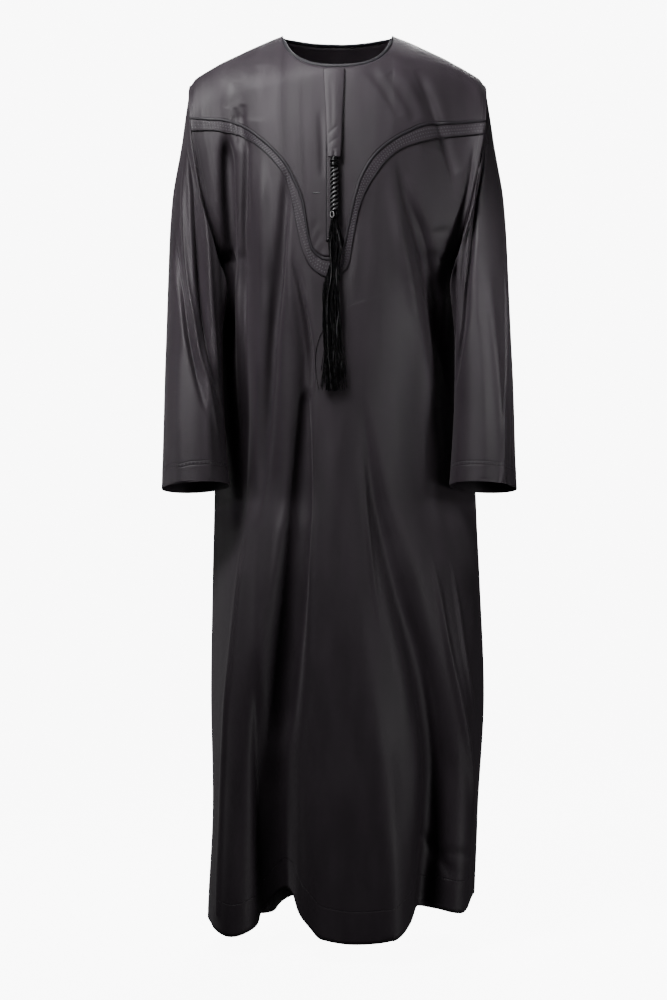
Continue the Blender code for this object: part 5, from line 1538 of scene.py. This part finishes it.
def sweep_object():
    bpy.ops.object.select_all(action="DESELECT")
    bpy.ops.mesh.primitive_circle_add(vertices=SWEEP_STEPS, radius=FLOOR_RADIUS, fill_type="NGON",
                                      location=(0.0, 0.0, FLOOR_Z))
    item = bpy.context.active_object
    item.name = "studio_floor"
    bpy.ops.object.transform_apply(location=True, rotation=True, scale=True)
    bpy.ops.object.mode_set(mode="EDIT")
    bpy.ops.mesh.select_mode(type="EDGE")
    bpy.ops.mesh.select_all(action="DESELECT")
    bpy.ops.mesh.select_non_manifold()
    radius = FLOOR_RADIUS
    for step in range(1, BEND_STEPS + 1):
        turn = math.pi / 2 * step / BEND_STEPS
        before = math.pi / 2 * (step - 1) / BEND_STEPS
        rise = BEND_RADIUS * (math.cos(before) - math.cos(turn))
        grown = FLOOR_RADIUS + BEND_RADIUS * math.sin(turn)
        bpy.ops.mesh.extrude_region_move(TRANSFORM_OT_translate={"value": (0.0, 0.0, rise)})
        scale = grown / radius
        bpy.ops.transform.resize(value=(scale, scale, 1.0), center_override=(0.0, 0.0, 0.0))
        radius = grown
    bpy.ops.mesh.extrude_region_move(TRANSFORM_OT_translate={"value": (0.0, 0.0, WALL_TOP)})
    bpy.ops.mesh.select_all(action="SELECT")
    bpy.ops.mesh.normals_make_consistent(inside=True)
    bpy.ops.object.mode_set(mode="OBJECT")
    bpy.ops.object.shade_smooth()
    item.data.materials.append(studio_white("studio white"))
    item.visible_diffuse = False
    item.visible_glossy = False
    item.visible_shadow = False
    return item


floor = sweep_object()

# Soft lights: where each stands and points, its width and height, watts and spread in degrees
Light = namedtuple("Light", "name place target size power spread")
LIGHTS = rows_of(Light, [
    ("key", (-0.85, -1.15, 1.15), (0, 0, -0.08), (0.7, 0.5), 12.5, 62),
    ("left strip", (-1.25, -1, -0.3), (-0.27, -0.02, -0.5), (0.25, 0.4), 0.25, 16),
    ("right strip", (1.5, -0.8, -0.22), (0.28, -0.02, -0.44), (0.25, 0.4), 0.42, 18),
    ("left rim", (-1.4, 0.42, -0.95), (-0.2, 0, -1.04), (0.3, 0.8), 0.24, 44),
    ("skirt", (1.9, -1.5, -0.95), (0.05, 0, -1.12), (0.5, 0.8), 1.35, 46),
    ("back", (0.25, 2.1, 1.3), (0, 0.1, -0.5), (0.9, 0.7), 12.0, 75),
    ("neck fill", (0, -3.25, 0.3), (0, 0.05, -0.05), (0.3, 0.2), 0.13, 6),
])
ROOM_GLOW = 0.045

for light in LIGHTS:
    data = bpy.data.lights.new(light.name, "AREA")
    data.shape = "RECTANGLE"
    data.size, data.size_y = light.size
    data.energy = light.power
    data.spread = math.radians(light.spread)
    item = bpy.data.objects.new(light.name, data)
    item.location = light.place
    item.rotation_euler = (Vector(light.target) - Vector(light.place)).to_track_quat("-Z", "Y").to_euler()
    bpy.context.collection.objects.link(item)

world = bpy.data.worlds.new("studio")
world.use_nodes = True
background = world.node_tree.nodes["Background"]
background.inputs["Color"].default_value = (1.0, 1.0, 1.0, 1.0)
background.inputs["Strength"].default_value = ROOM_GLOW
bpy.context.scene.world = world
